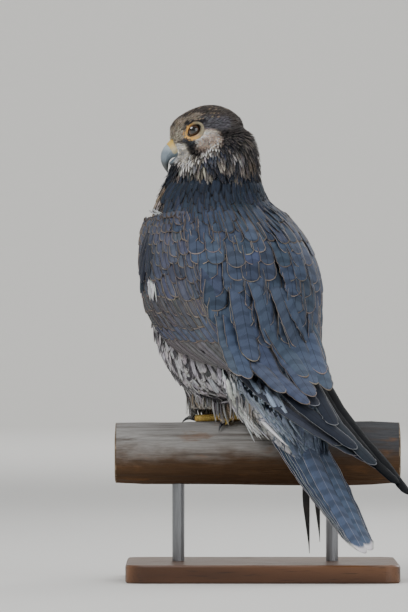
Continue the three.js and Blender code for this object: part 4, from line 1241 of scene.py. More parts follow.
# lines on the near side of the head: first and last pixel, half width, colour, strength
head_lines = [
    ((172, 134), (182, 121), 6, (176, 166, 150), 0.75),
    ((182, 121), (198, 114), 4, (160, 148, 132), 0.7),
    ((171, 141), (182, 133), 6, (196, 186, 168), 0.8),
    ((206, 122), (226, 122), 8, (104, 104, 112), 0.7),
    ((203, 140), (212, 140), 11, (255, 230, 210, 1.8), 1.0),
    ((189, 141), (193, 141), 4.5, (124, 134, 146), 0.9),
    ((178, 150), (186, 149), 6, (224, 214, 196), 0.9),
    ((180, 153), (187, 162), 11, (255, 246, 230, 1.9), 1.0),
    ((190, 148), (193, 153), 4.5, (46, 46, 52), 0.95),
    ((193, 153), (199, 160), 4.0, (50, 48, 52), 0.95),
    ((200, 151), (208, 149), 3.0, (122, 110, 106), 0.7),
    ((184, 174), (200, 163), 5.0, (250, 246, 238), 1.0),
    ((200, 163), (215, 151), 5.0, (250, 246, 238), 1.0),
    ((199, 172), (221, 160), 6.0, (76, 82, 94), 1.0),
    ((188, 141), (192, 144), 4.0, (70, 72, 78), 0.9),
    ((226, 149), (232, 151), 4.5, (48, 50, 58), 0.9),
    # the next line is painted shade under the brow, along the top of the eye
    ((187, 121), (206, 119.5), 2.4, (44, 42, 46), 0.95),
    # the next line is a painted shadow in front of the eye
    ((180, 141), (188, 142.5), 2.0, (66, 60, 58), 0.7)]
# pale and dark places of the neck: pixel, half width, colour, strength
neck_spots = [
    (222, 168, 5, cream_rgb, 0.85), (202, 176, 6, cream_rgb, 0.8), (211, 182, 4, cream_rgb, 0.7),
    (238, 163, 7, (190, 186, 186), 0.7), (243, 174, 5, (160, 150, 140), 0.6),
    (155, 214, 6, (214, 216, 220), 0.9), (192, 187, 6, (160, 146, 140), 0.5),
    (214, 160, 3.6, (76, 84, 100), 0.9), (199, 170, 4, (88, 92, 102), 0.85),
    (186, 180, 7, (76, 82, 92), 0.8), (172, 186, 7, (84, 84, 86), 0.8),
    (152, 206, 9, (206, 184, 166), 0.8), (162, 194, 7, (170, 148, 126), 0.8),
    (252, 170, 8, (128, 116, 102), 0.7), (250, 142, 7, (140, 128, 120), 0.5)]


def coat_tint(points):
    """Ground colour of the coat, and how streaky it is, at any place."""
    height, angle = trunk_spot(points)
    slaty = 1 - ramp(height, 346, 372)
    first = 92 + 30 * ramp(height, 330, 348)
    front = np.maximum(ramp(np.abs(angle), first, first + 16), 1 - ramp(height, 236, 290))
    low = 1 - ramp(height, 176, 230)
    body = mixed_rows(ramp(height, 250, 330), flank_tint, breast_tint)
    body = mixed_rows(low, body, vent_tint)
    colour = mixed_rows(front, mixed_rows(slaty, nape_dark, mantle_tint * 1.15), body)
    streaks = front * (0.75 - 0.35 * low) + (1 - front) * 0.5
    share = head_share(points)
    local = in_head(points)
    below = (1 - ramp(local[:, 2] + 0.12 * local[:, 0], -15, -8)) * ramp(local[:, 0], -6, 6)
    head = mixed_rows(below, np.broadcast_to(head_dark, (len(points), 3)), cream * 0.9)
    colour = mixed_rows(share, colour, head)
    streaks = streaks * (1 - share) + 0.5 * share
    flat = mirrored_pixels(points)
    close = 1 - ramp(np.linalg.norm(local, axis=1), 62, 74)
    for start, end, size, line_rgb, strength in head_lines:
        part = strength * close * near_line(flat, start, end, size)
        colour = mixed_rows(part, colour, tint(*line_rgb))
        streaks = streaks * (1 - 0.95 * part)
    for px, py, size, spot_rgb, strength in neck_spots:
        part = strength * near_place(points, seen_place(px, py), size * 0.9)
        colour = mixed_rows(part, colour, tint(*spot_rgb))
        streaks = streaks * (1 - 0.8 * part)
    return colour, streaks


def lie(points, normals):
    """The way that the coat lies at each place."""
    local = in_head(points)
    back = local - [34.0, 0, -6.0]
    back[:, 2] *= 0.8
    head_way = unit(back) @ head_array[:3, :3].T
    height, _ = trunk_spot(points)
    low = (1 - ramp(height, 165, 215))[:, None]
    body_way = np.array([-0.3, 0, -0.95]) * (1 - low) + np.array([-0.5, 0, -0.8]) * low
    body_way = unit(body_way) @ bird_array[:3, :3].T
    share = head_share(points)[:, None]
    way = head_way * share + body_way * (1 - share)
    way = way + 0.09 * wobble(way.shape)
    return unit(way - normals * (way * normals).sum(1, keepdims=True))


print("marks of the face and neck:", len(head_lines) + len(neck_spots))

# %% [markdown]
# Laid on a grid these feathers would show as lines, and purely at random they would clump,
# so their roots are picked at random but never too close. From there each line walks over
# the skin in the way that the coat lies: back from the bill, and down on the body.

# %% Scattered places


def surface_samples(mesh, spacing):
    """Random places all over a mesh, with their normals."""
    mesh.calc_loop_triangles()
    corners = np.zeros(len(mesh.loop_triangles) * 3, np.int32)
    mesh.loop_triangles.foreach_get("vertices", corners)
    corners = corners.reshape(-1, 3)
    places, normals = vertex_array(mesh), vertex_array(mesh, "normal")
    a, b, c = (places[corners[:, k]] for k in range(3))
    area = np.linalg.norm(np.cross(b - a, c - a), axis=1) / 2
    count = int(area.sum() / spacing ** 2 * 5)
    picked = chance.choice(len(area), count, p=area / area.sum())
    first, second = chance.random(count), chance.random(count)
    over = first + second > 1
    first[over], second[over] = 1 - first[over], 1 - second[over]
    weights = np.stack([1 - first - second, first, second], -1)[..., None]
    chosen = corners[picked]
    return ((places[chosen] * weights).sum(1), unit((normals[chosen] * weights).sum(1)))


def spaced(points, gap):
    """Indices of places that keep their own gap from those already taken."""
    cell = float(gap.max())
    taken = {}
    kept = []
    keys = np.floor(points / cell).astype(int)
    around = [(i, j, k) for i in (-1, 0, 1) for j in (-1, 0, 1) for k in (-1, 0, 1)]
    for number, ((x, y, z), (kx, ky, kz)) in enumerate(zip(points, keys)):
        limit = gap[number] ** 2
        others = (spot for i, j, k in around for spot in taken.get((kx + i, ky + j, kz + k), ()))
        if all((x - ox) ** 2 + (y - oy) ** 2 + (z - oz) ** 2 >= limit for ox, oy, oz in others):
            taken.setdefault((kx, ky, kz), []).append((x, y, z))
            kept.append(number)
    return np.array(kept)


def body_bake(points, region):
    """Where places lie on an unwrap of the skin: round the body and up it."""
    if region == "head":
        local = in_head(points)
        turn = np.arctan2(local[:, 1], -local[:, 2])
        spread = np.stack([turn / (2 * np.pi) + 0.5, (local[:, 0] + 34) / 72], -1)
    else:
        height, angle = trunk_spot(points)
        spread = np.stack([angle / 360 + 0.5, (height - 130) / 280], -1)
    return np.array(bake_corners[region]) + np.clip(spread, 0, 1) * bake_size[1]


def hugging(points, normals, ways, length, sunk, high):
    """Feather lines that follow the skin from sunk roots to slightly raised tips."""
    shares = [0.0, 0.3, 0.65, 1.0]
    lifts = [-sunk, -0.35 * sunk, 0.4 * high, high]
    line, outward = [], []
    place, way, normal = points.copy(), ways.copy(), normals.copy()
    for number, share in enumerate(shares):
        if number:
            step = (share - shares[number - 1]) * length[:, None]
            moved = place + way * step
            for index, spot in enumerate(moved):
                hit, facing, _, _ = skin_tree.find_nearest(Vector(spot))
                place[index] = hit
                normal[index] = facing
            normal = unit(normal)
            way = unit(way - normal * (way * normal).sum(1, keepdims=True))
        lift = np.asarray(lifts[number]) * np.ones(len(points))
        line.append(place + normal * lift[:, None])
        outward.append(normal.copy())
    return np.stack(line, 1), np.stack(outward, 1)


# %% [markdown]
# Under the feathers lies grey down. A flat colour there would show as gaps, so the skin itself
# carries the colours of the coat, made a little darker as painted shade between the feathers,
# and a soft tufted bump.

# %% Skin colours
outer_places = vertex_array(skin.data)
outer_normals = vertex_array(skin.data, "normal")
coat_depth = (2.2 - 1.3 * head_share(outer_places)) * mm
skin_colour = coat_tint(outer_places)[0]
# painted shade: the skin is a quarter darker than the coat, for the gaps between the feathers
store(skin.data, "ground", opaque(skin_colour * 0.75))


def down_finish():
    board = new_material("down_skin", 0.15)
    tufts = board.noise(board.space(), 320, 4.0, 0.7, (1, 1, 0.35))
    ground = board.stored("ground", "Color")
    shaded = board.blend(1.0, ground, (0.7, 0.7, 0.7), "MULTIPLY")
    return board.finish(board.blend(board.fade(tufts, 0.3, 0.7), shaded, ground),
                        board.fade(tufts, 0.2, 0.8, 0.9, 0.75), tufts, 0.7, 0.8 * mm)


skin_material = down_finish()
skin.data.materials.append(skin_material)

# %% [markdown]
# Roots are kept where no wing or row of the back covers them and where the bird isn't bare,
# round the bill and the eyes. Even gaps would be simpler, but real feathers are finest on
# the head, so the gap grows down the neck.

# %% Roots of the body coat
sample_places, sample_normals = surface_samples(skin.data, 1.9 * mm)
sample_height, sample_angle = trunk_spot(sample_places)
sample_head = head_share(sample_places)
sample_local = in_head(sample_places)
covered_lift = 2.4
under_wing = back_lift(sample_height, sample_angle) > covered_lift
under_back = ((np.abs(sample_angle) < 78) & (sample_height < 336) & (sample_height > 200)
              & (sample_head < 0.3))
bill_way = np.linalg.norm((sample_local - [34, 0, -9]) * [1, 0.8, 0.9], axis=1)
bill_bare, eye_bare_long, eye_bare_high = 7.6, 9.6, 7.1
eye_tilt = math.radians(-17)
eye_flat = sample_local[:, ::2] - [13.0, 1.6]
eye_long = (eye_flat @ np.array([math.cos(eye_tilt), math.sin(eye_tilt)])) / eye_bare_long
eye_high = (eye_flat @ np.array([-math.sin(eye_tilt), math.cos(eye_tilt)])) / eye_bare_high
round_eye = (np.hypot(eye_long, eye_high) < 1) & (np.abs(sample_local[:, 1]) > 8)
bare = (bill_way < bill_bare) | round_eye
wanted = ~under_wing & ~under_back & ~bare
fine = 1 - ramp(np.linalg.norm(sample_local, axis=1), 33, 56)
gap = (4.3 - 3.05 * fine) * mm
neck_share = ramp(sample_height, 330, 360) * (1 - sample_head)
gap = gap * (1 - 0.4 * neck_share)
order = chance.permutation(np.flatnonzero(wanted))
kept = order[spaced(sample_places[order], gap[order])]
print("scattered feathers:", len(kept))

# %% [markdown]
# Each feather takes its colour from its place and a little from chance: spots on the
# breast, buff ones on the crown, pale ones on the nape. The whole coat could be one piece,
# but each region gets its own, to keep the pieces light.

# %% Body coat
def dress_body(name, chosen, region, slot, material, profile=lance_profile, columns=2):
    """Feathers at the chosen roots, coloured by their place."""
    points, normals = sample_places[chosen], sample_normals[chosen]
    count = len(chosen)
    head_part, neck_part = sample_head[chosen], neck_share[chosen]
    size = gap[chosen]
    length = size * (4.4 - 1.2 * fine[chosen]) * (1 + 0.16 * wobble(count))
    length = np.maximum(length, 2.2 * mm)
    ways = lie(points, normals)
    half = size * (0.62 + 0.14 * fine[chosen]) * (1 + 0.12 * wobble(count))
    colour, streaks = coat_tint(points + ways * length[:, None] * 0.78)
    height, angle = sample_height[chosen], sample_angle[chosen]
    front = np.maximum(ramp(np.abs(angle), 92, 108), 1 - ramp(height, 236, 290))
    front = front * (1 - head_part)
    mottled = front * (1 - ramp(height, 318, 345))
    spotted = (chance.random(count) < 0.36 * mottled)[:, None]
    ground = np.where(spotted & (front[:, None] > 0.2), spot_tint, colour)
    ground = np.where((chance.random(count) < 0.3)[:, None] & (head_part[:, None] > 0.5),
                      colour * 0.88, ground)
    crown = head_part * ramp(sample_local[chosen, 2], 4, 12)
    buffy = (chance.random(count) < 0.22 * crown)[:, None]
    ground = np.where(buffy, tint(150, 134, 116), ground)
    hackle = neck_part * (1 - front)
    pale_hackle = (chance.random(count) < 0.22 * hackle * ramp(height, 344, 362))[:, None]
    ground = np.where(pale_hackle, tint(116, 109, 104), ground)
    edge = np.minimum(colour * 1.25 + 0.02, 0.6)
    edge = mixed_rows(0.3 * hackle, edge, buff_edge)
    edge = mixed_rows(mottled, edge, tint(186, 184, 186))
    sunk = (2.0 - 1.2 * head_part) * mm
    high = (0.5 + 1.3 * hackle - 0.25 * head_part + 0.35 * chance.random(count)) * mm
    loose = chance.random(count) < 0.1 * front
    length = np.where(loose, length * 1.35, length)
    high = np.where(loose, high + 1.6 * mm, high)
    line, up = hugging(points, normals, ways, length, sunk, high)
    feathers(name, line, up, half, varied(ground, count, 0.13), varied(edge, count, 0.1),
             marked(count, 0.3, 0.25 + 0.6 * mottled + 0.1 * neck_part, streaks,
                    2.4 * mottled * chance.random(count)), body_bake(points, region), material,
             slot, rows=5, columns=columns, profile=profile, point=1.5, arch=0.22,
             thick=0.1 * mm, ruffle=0.07, lean=math.radians(6) * wobble(count))


soft_material = plumage("plumage_soft_vane", bar_pitch=6.0, bar_depth=0.5, barb_pitch=0.07,
                        relief=0.45, shine=0.08)
head_material = plumage("plumage_head_vane", bar_pitch=5.0, bar_depth=0.2, barb_pitch=0.05,
                        relief=0.4, shine=0.1)
on_head = sample_head[kept] > 0.35
dress_body("head_coat", kept[on_head], "head", "plumage_head", head_material)
rest = kept[~on_head]
rest_height = sample_height[rest]
neck_low, breast_low = 330, 214
dress_body("neck_coat", rest[rest_height >= neck_low], "body", "plumage_back", soft_material)
dress_body("breast_coat", rest[(rest_height < neck_low) & (rest_height >= breast_low)], "body",
           "plumage_breast", soft_material, vane_profile, 4)
dress_body("leg_coat", rest[rest_height < breast_low], "body", "plumage_leg", soft_material,
           vane_profile, 4)

# %% [markdown]
# Some feathers hang free: soft plumes beside the root of the tail, white tufts at the edge
# of the wing and dark feathers along the fold of the wrist. Each could be a curve drawn by
# hand. Here two pairs of pixels bound a fan, whose lines are laid on the body seen there.

# %% Plumes
plume_material = plumage("plumage_plume_vane", bar_pitch=30.0, bar_depth=0.15, barb_pitch=0.12,
                         relief=0.5, shine=0.1)
body_trees.append(tree_of(rump))
for thing in bpy.data.objects:
    if thing.name.startswith("wing_left") and len(thing.data.polygons) > 100:
        body_trees.append(tree_of(thing))


def plume_set(name, lines, half, colour, edge, fringe_mm, slot, material, columns=2, rows=8,
              profile=lance_profile, shaft=0.3):
    count = len(lines)
    lines = np.stack(lines)
    mixed_in = chance.random((count, 1)) < 0.35
    colour = np.where(mixed_in, colour * 0.68, colour)
    up = np.array([[skin_tree.find_nearest(Vector(line[k]))[1] for k in (2, 8)]
                   for line in lines])
    up = unit(0.35 * up + [0.2, -0.8, 0.55] + 0.12 * wobble((count, 1, 3)))
    bake = [0.88, 0.52] + chance.random((count, 2)) * [0.08, 0.4]
    return feathers(name, lines, up, half * (1 + 0.15 * wobble(count)) * mm,
                    varied(colour, count, 0.1), varied(edge, count, 0.08),
                    marked(count, 0.3, fringe_mm, shaft), bake, material, slot, rows=rows,
                    columns=columns, profile=profile, point=1.6, arch=0.2, thick=0.2 * mm,
                    lean=math.radians(14) * wobble(count))


def body_line(pixels, lift, fall):
    """A line on the body under given pixels. Past its edge it comes nearer by fall per mm."""
    share, x, z = pixel_line(pixels)
    rise = np.interp(share, [0, 0.2, 1], [-2.5, 0.4 * lift, lift]) * mm
    depth = np.zeros(len(share))
    for number, (place_x, place_z) in enumerate(zip(x, z)):
        hit = nearest_seen(place_x, place_z)
        if hit is not None:
            depth[number] = hit - rise[number]
        elif number:
            depth[number] = depth[number - 1] - fall * max(z[number - 1] - place_z, 0)
        else:
            inward = np.sign(-0.02 - place_x) * np.arange(1, 24) * mm
            tries = (nearest_seen(place_x + step, place_z) for step in inward)
            depth[number] = next((found for found in tries if found is not None), -0.03)
    return np.stack([x, evened(depth), z], -1)


def fan(first, last, count, jitter, lift, bow_px=0.0, fall=0.0):
    """Feather lines whose root and tip pixels run from one pair to another."""
    lines = []
    for number in range(count):
        t = (number + 0.5 + 0.6 * wobble()) / count
        root, tip = (np.array(first[k]) * (1 - t) + np.array(last[k]) * t for k in (0, 1))
        root = root + jitter * wobble(2)
        tip = tip + jitter * wobble(2)
        middle = (root + tip) / 2 + [-bow_px, bow_px * 0.5]
        lines.append(body_line([root, middle, tip], lift * (0.6 + 0.8 * chance.random()), fall))
    return lines


white_plume, grey_plume = tint(246, 248, 252), tint(164, 178, 200)
plume_set("tail_grey_plumes",
          fan([(236, 368), (252, 408)], [(272, 392), (304, 448)], 60, 3.0, 6.0, 2, 0.7), 3.4,
          grey_plume, tint(206, 214, 226), 0.9, "plumage_tail", plume_material)
vent_lines = (fan([(224, 370), (236, 412)], [(236, 388), (262, 438)], 30, 2.4, 15.0, 3, 0.7)
              + fan([(232, 384), (256, 430)], [(246, 398), (288, 447)], 22, 2.0, 16.0, 3, 0.7))
plume_set("tail_root_plumes", vent_lines, 2.5, white_plume, tint(248, 248, 248), 0.6,
          "plumage_tail", plume_material)
tuft_lines = fan([(149, 278), (149, 297)], [(153, 283), (156, 303)], 14, 1.2, 2.0)
tuft_lines += fan([(151, 211), (159, 216)], [(153, 208), (162, 212)], 7, 1.0, 2.0)
plume_set("white_tufts", tuft_lines, 0.9, white_plume, tint(222, 225, 228), 0.4,
          "plumage_breast", plume_material)
wrist_lines = (fan([(152, 222), (138, 262)], [(153, 236), (142, 292)], 7, 0.8, 2.0, 2)
               + fan([(150, 234), (146, 268)], [(151, 240), (147, 280)], 3, 0.8, 2.4))
plume_set("wrist_feathers", wrist_lines, 2.6, tint(62, 68, 80), tint(120, 122, 128), 0.4,
          "plumage_wing", wing_material, columns=4, rows=10, profile=quill_profile, shaft=0.8)

# %% [markdown]
# The plumes of the thighs start all round the lower edge of each leg and fall nearly
# straight. A simulation could settle them, but slowly, so a formula lays them over the round
# top of the log and lifts them off the toes.

# %% Thigh plumes
log_top, log_round_mm = 111.8, 28.2
rim_places, rim_normals = surface_samples(skin.data, 1.2 * mm)
rim_height = rim_places[:, 2] / mm
rim_wanted = np.flatnonzero((rim_height > 141) & (rim_height < 166) & (rim_normals[:, 2] < 0.3)
                            & (rim_normals[:, 2] > -0.85))
rim_order = chance.permutation(rim_wanted)
rim_kept = rim_order[spaced(rim_places[rim_order], np.full(len(rim_order), 2.1 * mm))]
toe_left, toe_right, toe_height = -66 * mm, -42 * mm, 150.5 * mm
thigh_lines = []
for index in rim_kept:
    place, normal = rim_places[index], rim_normals[index]
    long = (place[2] / mm - 152) * chance.uniform(0.7, 1.1) + chance.uniform(7, 17)
    drop = np.array([0.0, 0.3, 0.65, 1.0])
    flat = unit(normal * [1, 1, 0] + 1e-6)
    line = place + flat * (np.array([-1.5, 0.4, 0.2, -0.6]) * mm)[:, None]
    line[:, 2] -= drop * long * mm
    line[:, 0] += (0.12 * drop * long + chance.normal(0, 2.2) * drop ** 2) * mm
    if toe_left < line[-1, 0] < toe_right and line[-1, 1] < 0:
        room = (line[0, 2] - toe_height) * chance.uniform(0.75, 1.05)
        line[:, 2] = line[0, 2] - np.minimum(drop * room, line[0, 2] - line[:, 2])
    over = np.clip(log_round_mm ** 2 - (line[:, 1] / mm) ** 2, 0, None)
    floor = np.where(over > 0, log_top + np.sqrt(over) + 1.0, 0) * mm
    line[:, 2] = np.maximum(line[:, 2], floor + 0.4 * mm * drop)
    thigh_lines.append(line)
thigh_lines = np.stack(thigh_lines)
thigh_count = len(thigh_lines)
thigh_up = np.repeat(rim_normals[rim_kept][:, None] * [1, 1, 0.3], 2, 1)
thigh_pick = chance.random(thigh_count)[:, None]
thigh_tint = np.where(thigh_pick < 0.2, tint(150, 136, 116),
                      np.where(thigh_pick < 0.5, tint(128, 128, 132), tint(176, 175, 176)))
feathers("thigh_plumes", thigh_lines, unit(thigh_up),
         chance.uniform(0.7, 1.3, thigh_count) * mm, varied(thigh_tint, thigh_count, 0.12),
         varied(tint(200, 194, 184), thigh_count, 0.1), marked(thigh_count, 0.2, 0.35, 0.5),
         body_bake(rim_places[rim_kept], "body"), plume_material, "plumage_leg", rows=6,
         columns=2, profile=lance_profile, arch=0.2, thick=0.12 * mm,
         lean=math.radians(16) * wobble(thigh_count))

# %% [markdown]
# Now the skin is drawn in under the feathers by the depth of the coat, which is thinner on
# the head. Scaling the whole skin down would be simpler, but would shift head and legs.

# %% Draw the skin in
down_dark, down_grey = [0.07, 0.09, 0.125, 1.0], [0.2, 0.21, 0.22, 1.0]
drawn_in = outer_places - outer_normals * coat_depth[:, None]
skin.data.vertices.foreach_set("co", drawn_in.astype(np.float32).ravel())
skin.data.update()
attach(skin, "root")
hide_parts("torso", "neck", "head", "leg_left", "leg_right")
for pad in pads.values():
    pad.data.materials.append(skin_material)
    store(pad.data, "ground", np.tile(down_dark, (len(pad.data.vertices), 1)))
rump.data.materials.append(skin_material)
store(rump.data, "ground", np.tile(down_grey, (len(rump.data.vertices), 1)))
print("coat:", coat_total["triangles"], "triangles")

# %% [markdown]
# The bare parts could be modelled anew, but the bill, feet and claws start as copies of
# their solids, remeshed finely and smoothed, so they stay where they are and only lose
# their facets. Parts of the head keep their place on it, and their colours follow that.

# %% Helpers for bare parts


def keep_place(thing, matrix):
    """Stores each vertex's place in a turned frame, in millimetres, for the material."""
    store(thing.data, "place", into(matrix, vertex_array(thing.data)) / mm)


def place_parts(board):
    """The three parts of that place."""
    return board.apart(board.stored("place"))[:3]


def stand_for(thing, slot, material, *replaced):
    """Gives a piece its finish and body, and hides the nodes that it stands for. Its slot is not
    used.
    """
    thing.data.materials.append(material)
    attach(thing, "root")
    if replaced:
        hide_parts(*replaced)
    return thing


def bent_grid(name, columns, rows, place, closed=True):
    """A mesh from a flat grid whose places are worked out by place(across, along)."""
    form = bmesh.new()
    bmesh.ops.create_grid(form, x_segments=columns, y_segments=rows, size=0.5)
    grid = np.array([v.co[:] for v in form.verts]) + 0.5
    for corner, spot in zip(form.verts, place(grid[:, 0], grid[:, 1])):
        corner.co = spot
    if closed:
        bmesh.ops.remove_doubles(form, verts=form.verts, dist=1e-6)
        bmesh.ops.holes_fill(form, edges=form.edges)
        bmesh.ops.recalc_face_normals(form, faces=form.faces)
    return made(form, name)


# %% [markdown]
# A falcon's bill is blue grey horn, paler at its root and nearly black at its hook, with
# growth lines along it. Shades by height alone would lie level, so they follow a line that
# slants forwards.

# %% Bill
bill_voxel, bill_rounds = 0.38 * mm, 5


def bill_finish():
    board = new_material("bill_horn", 0.5, Coat_Weight=0.25, Coat_Roughness=0.25)
    ahead, _, up = place_parts(board)
    down = board.scaled(ahead, 0.55, board.times(up, -1.0))
    growth = board.noise(board.space(), 900, 2.0, 0.5, (1, 1, 0.25))
    mottle = board.noise(board.space(), 260, 3.0)
    horn = board.blend(board.fade(down, 24.5, 31), tint(166, 182, 194), tint(120, 138, 154))
    horn = board.blend(board.fade(down, 33.5, 44.5), horn, tint(30, 32, 38))
    horn = board.blend(board.times(mottle, 0.35), horn, tint(196, 200, 196))
    return board.finish(horn, board.fade(growth, 0.2, 0.8, 0.28, 0.5), growth, 0.3, 0.4 * mm)


bill_material = bill_finish()
for part in ("bill_upper", "bill_lower"):
    horn_part = remeshed(part + "_horn", [part], bill_voxel, bill_rounds)
    keep_place(horn_part, head_array)
    stand_for(horn_part, "bill_horn", bill_material, part)
print("bill:", len(horn_part.data.polygons), "faces on its lower half")

# %% [markdown]
# The cere is the soft yellow skin over the root of the bill. It could be cut from the bill,
# but it is a sleeve over it, so a flat grid is rolled into a tube and its ends are closed.

# %% Cere
# share of the length, then forward, up, half height and half width in the head's frame
cere_rows = np.array([[0.0, 26.0, -4.0, 8.0, 9.6], [0.3, 30.0, -6.2, 8.2, 9.3],
                      [0.6, 33.2, -7.2, 7.9, 8.8], [0.82, 35.4, -7.7, 7.35, 7.9],
                      [0.93, 36.0, -7.8, 7.0, 7.4], [1.0, 36.2, -7.9, 6.3, 6.7]])
cere_slant, cere_flat_below = 0.9, 0.78
skin_glow = (0.004, 0.002, 0.001)


def cere_place(across, along):
    ahead, up, high, wide = np.moveaxis(between_rows(cere_rows, along), -1, 0)
    turn = 2 * np.pi * across
    reach = np.sin(turn)
    low = np.where(reach < 0, cere_flat_below, 1.0)
    local = np.stack([ahead + cere_slant * reach, wide * np.cos(turn),
                      up + high * low * reach], -1)
    return out_of(head_array, local * mm)


def cere_finish():
    board = new_material("cere_skin", 0.4, Subsurface_Weight=0.08, Subsurface_Radius=skin_glow)
    _, _, up = place_parts(board)
    grain = board.cells(board.space(), 1500.0)
    cloud = board.noise(board.space(), 300, 3.0)
    colour = board.blend(board.fade(up, -9, -1), tint(214, 206, 176), tint(232, 190, 92))
    colour = board.blend(board.times(cloud, 0.4), colour, tint(206, 178, 120))
    return board.finish(colour, board.fade(cloud, 0.3, 0.7, 0.42, 0.6), grain, 0.35, 0.3 * mm)


cere = bent_grid("cere", 48, 16, cere_place)
keep_place(cere, head_array)
stand_for(cere, "bill_horn", cere_finish())

# %% [markdown]
# The eye is a large dark globe, set as deep as on the living bird. A cap would be lighter,
# but a whole sphere can't show an edge between the lids. Pupil and iris are rings round its
# axis.

# %% Eyes
eye_centre = np.array([12.0, 13.2, 2.0])
eye_radius = 7.0
pupil_ahead = 0.3


def eye_finish():
    board = new_material("eye_globe", 0.6, Roughness=0.08, Coat_Weight=1.0, Coat_Roughness=0.02)
    ahead, _, up = place_parts(board)
    way = board.length(ahead, up)
    iris = board.blend(board.noise(board.space(), 1200, 3.0), tint(46, 30, 20), tint(84, 56, 36))
    colour = board.blend(board.fade(way, 3.0, 3.4), tint(4, 4, 6), iris)
    return board.finish(board.blend(board.fade(way, 4.6, 5.4), colour, tint(12, 9, 8)))


eye_material = eye_finish()


def eye_globe(name, side):
    globe = bmesh.new()
    bmesh.ops.create_uvsphere(globe, u_segments=48, v_segments=28, radius=eye_radius * mm)
    ahead, out, up = eye_centre
    bmesh.ops.transform(globe, matrix=head_matrix @ frame_at((ahead, side * out, up), 0),
                        verts=globe.verts)
    eye = made(globe, "eye_globe_" + name)
    keep_place(eye, np.array(head_matrix @ frame_at((ahead + pupil_ahead, side * out, up), 0)))
    stand_for(eye, "eye", eye_material, "eye_" + name)


# %% [markdown]
# Fleshy lids close over the eye in an almond that falls towards the bill, and a broad ring of
# bare yellow skin spreads from them to the feathers. Sculpting them would take long, so one
# bent grid makes both: its inner edge lies on the globe, its outer edge under the feathers,
# and a bulge and a fold between them are curves.

# %% Lids and bare rings
opening = np.array([5.9, 4.15])
ring_reach = np.array([10.4, 7.9])
ring_shift = np.array([1.0, -0.4])
ring_columns, ring_rows = 72, 26
lid_gap, lid_high, lid_roll = 0.25, 1.15, 1.6
fold_deep, ring_sunk = 0.28, 0.9


def ring_finish():
    board = new_material("eye_ring_skin", 0.45, Subsurface_Weight=0.08,
                         Subsurface_Radius=skin_glow)
    ahead = place_parts(board)[0]
    share = board.apart(board.stored("ring"))[0]
    grain = board.cells(board.space(), 1300.0, feature="SMOOTH_F1")
    cloud = board.noise(board.space(), 260, 3.0)
    colour = board.blend(board.fade(ahead, 7, 17), tint(126, 122, 106), tint(238, 178, 88))
    colour = board.blend(board.times(cloud, 0.3), colour, tint(226, 200, 144))
    colour = board.blend(board.fade(share, 0.06, 0.13, 1.0, 0.0), colour, tint(24, 20, 18))
    # painted shade: the ring darkens towards its outer edge, where the feathers overhang it
    colour = board.blend(board.fade(share, 0.72, 1.0, 0.0, 0.7), colour, tint(92, 84, 74))
    return board.finish(colour, board.fade(cloud, 0.3, 0.7, 0.4, 0.6), grain, 0.4, 0.4 * mm)


def head_side(ahead, up, side):
    """How far out the coat surface lies at a place seen from the head's side."""
    out = []
    start_side, where_none = 40.0, 10.0
    way = Vector(head_array[:3, 1]) * -side
    for x, z in zip(ahead, up):
        start = out_of(head_array, np.array([x, side * start_side, z]) * mm)
        hit = skin_tree.ray_cast(Vector(start), way)
        out.append(start_side - hit[3] / mm if hit[0] is not None else where_none)
    return np.array(out)


def bump_at(along, middle, wide):
    return np.exp(-((along - middle) / wide) ** 2)


ring_material = ring_finish()


def bare_ring(name, side):

    def ring_place(across, along):
        """Across runs round the eye, and along from the lids to the outer edge."""
        turn = 2 * np.pi * across
        reach = opening + (ring_reach - opening) * along[:, None] + 0 * turn[:, None]
        flat = np.stack([np.cos(turn), np.sin(turn)], -1) * reach + ring_shift * along[:, None]
        c, s = math.cos(eye_tilt), math.sin(eye_tilt)
        ahead = eye_centre[0] + flat[:, 0] * c - flat[:, 1] * s
        up = eye_centre[2] + flat[:, 0] * s + flat[:, 1] * c
        way = np.minimum(np.hypot(ahead - eye_centre[0], up - eye_centre[2]), eye_radius)
        globe_side = eye_centre[1] + np.sqrt(
            np.maximum((eye_radius + lid_gap) ** 2 - way ** 2, 0.5))
        rim_side = head_side(ahead, up, side)
        share = ramp(along, 0.0, 0.75)
        out = globe_side * (1 - share) + (rim_side - 0.35) * share
        lid = lid_high * bump_at(along, 0.14, 0.1) - lid_roll * (1 - ramp(along, 0.0, 0.08))
        fold = fold_deep * bump_at(along, 0.42, 0.07)
        out = np.maximum(out, (rim_side - 0.5) * ramp(along, 0.12, 0.3))
        out = out + lid - fold - ring_sunk * ramp(along, 0.86, 1.0)
        return out_of(head_array, np.stack([ahead, side * out, up], -1) * mm)

    ring = bent_grid("eye_ring_" + name, ring_columns, ring_rows, ring_place, closed=False)
    shares = np.zeros((len(ring.data.vertices), 3))
    shares[:, 0] = np.repeat(np.linspace(0, 1, ring_rows + 1), ring_columns + 1)
    store(ring.data, "ring", shares)
    keep_place(ring, head_array)
    stand_for(ring, "foot_skin", ring_material)
    print(ring.name, len(ring.data.polygons), "faces")


for name, side in wing_sides.items():
    eye_globe(name, side)
    bare_ring(name, side)

# %% [markdown]
# The feet are yellow and covered in scales, and the claws are black horn. The scales are
# less than a millimetre high, so cells in the material raise them instead of the mesh.

# %% Feet and claws
scale_pitch = 520.0
foot_voxel, claw_voxel = 0.75 * mm, 0.42 * mm


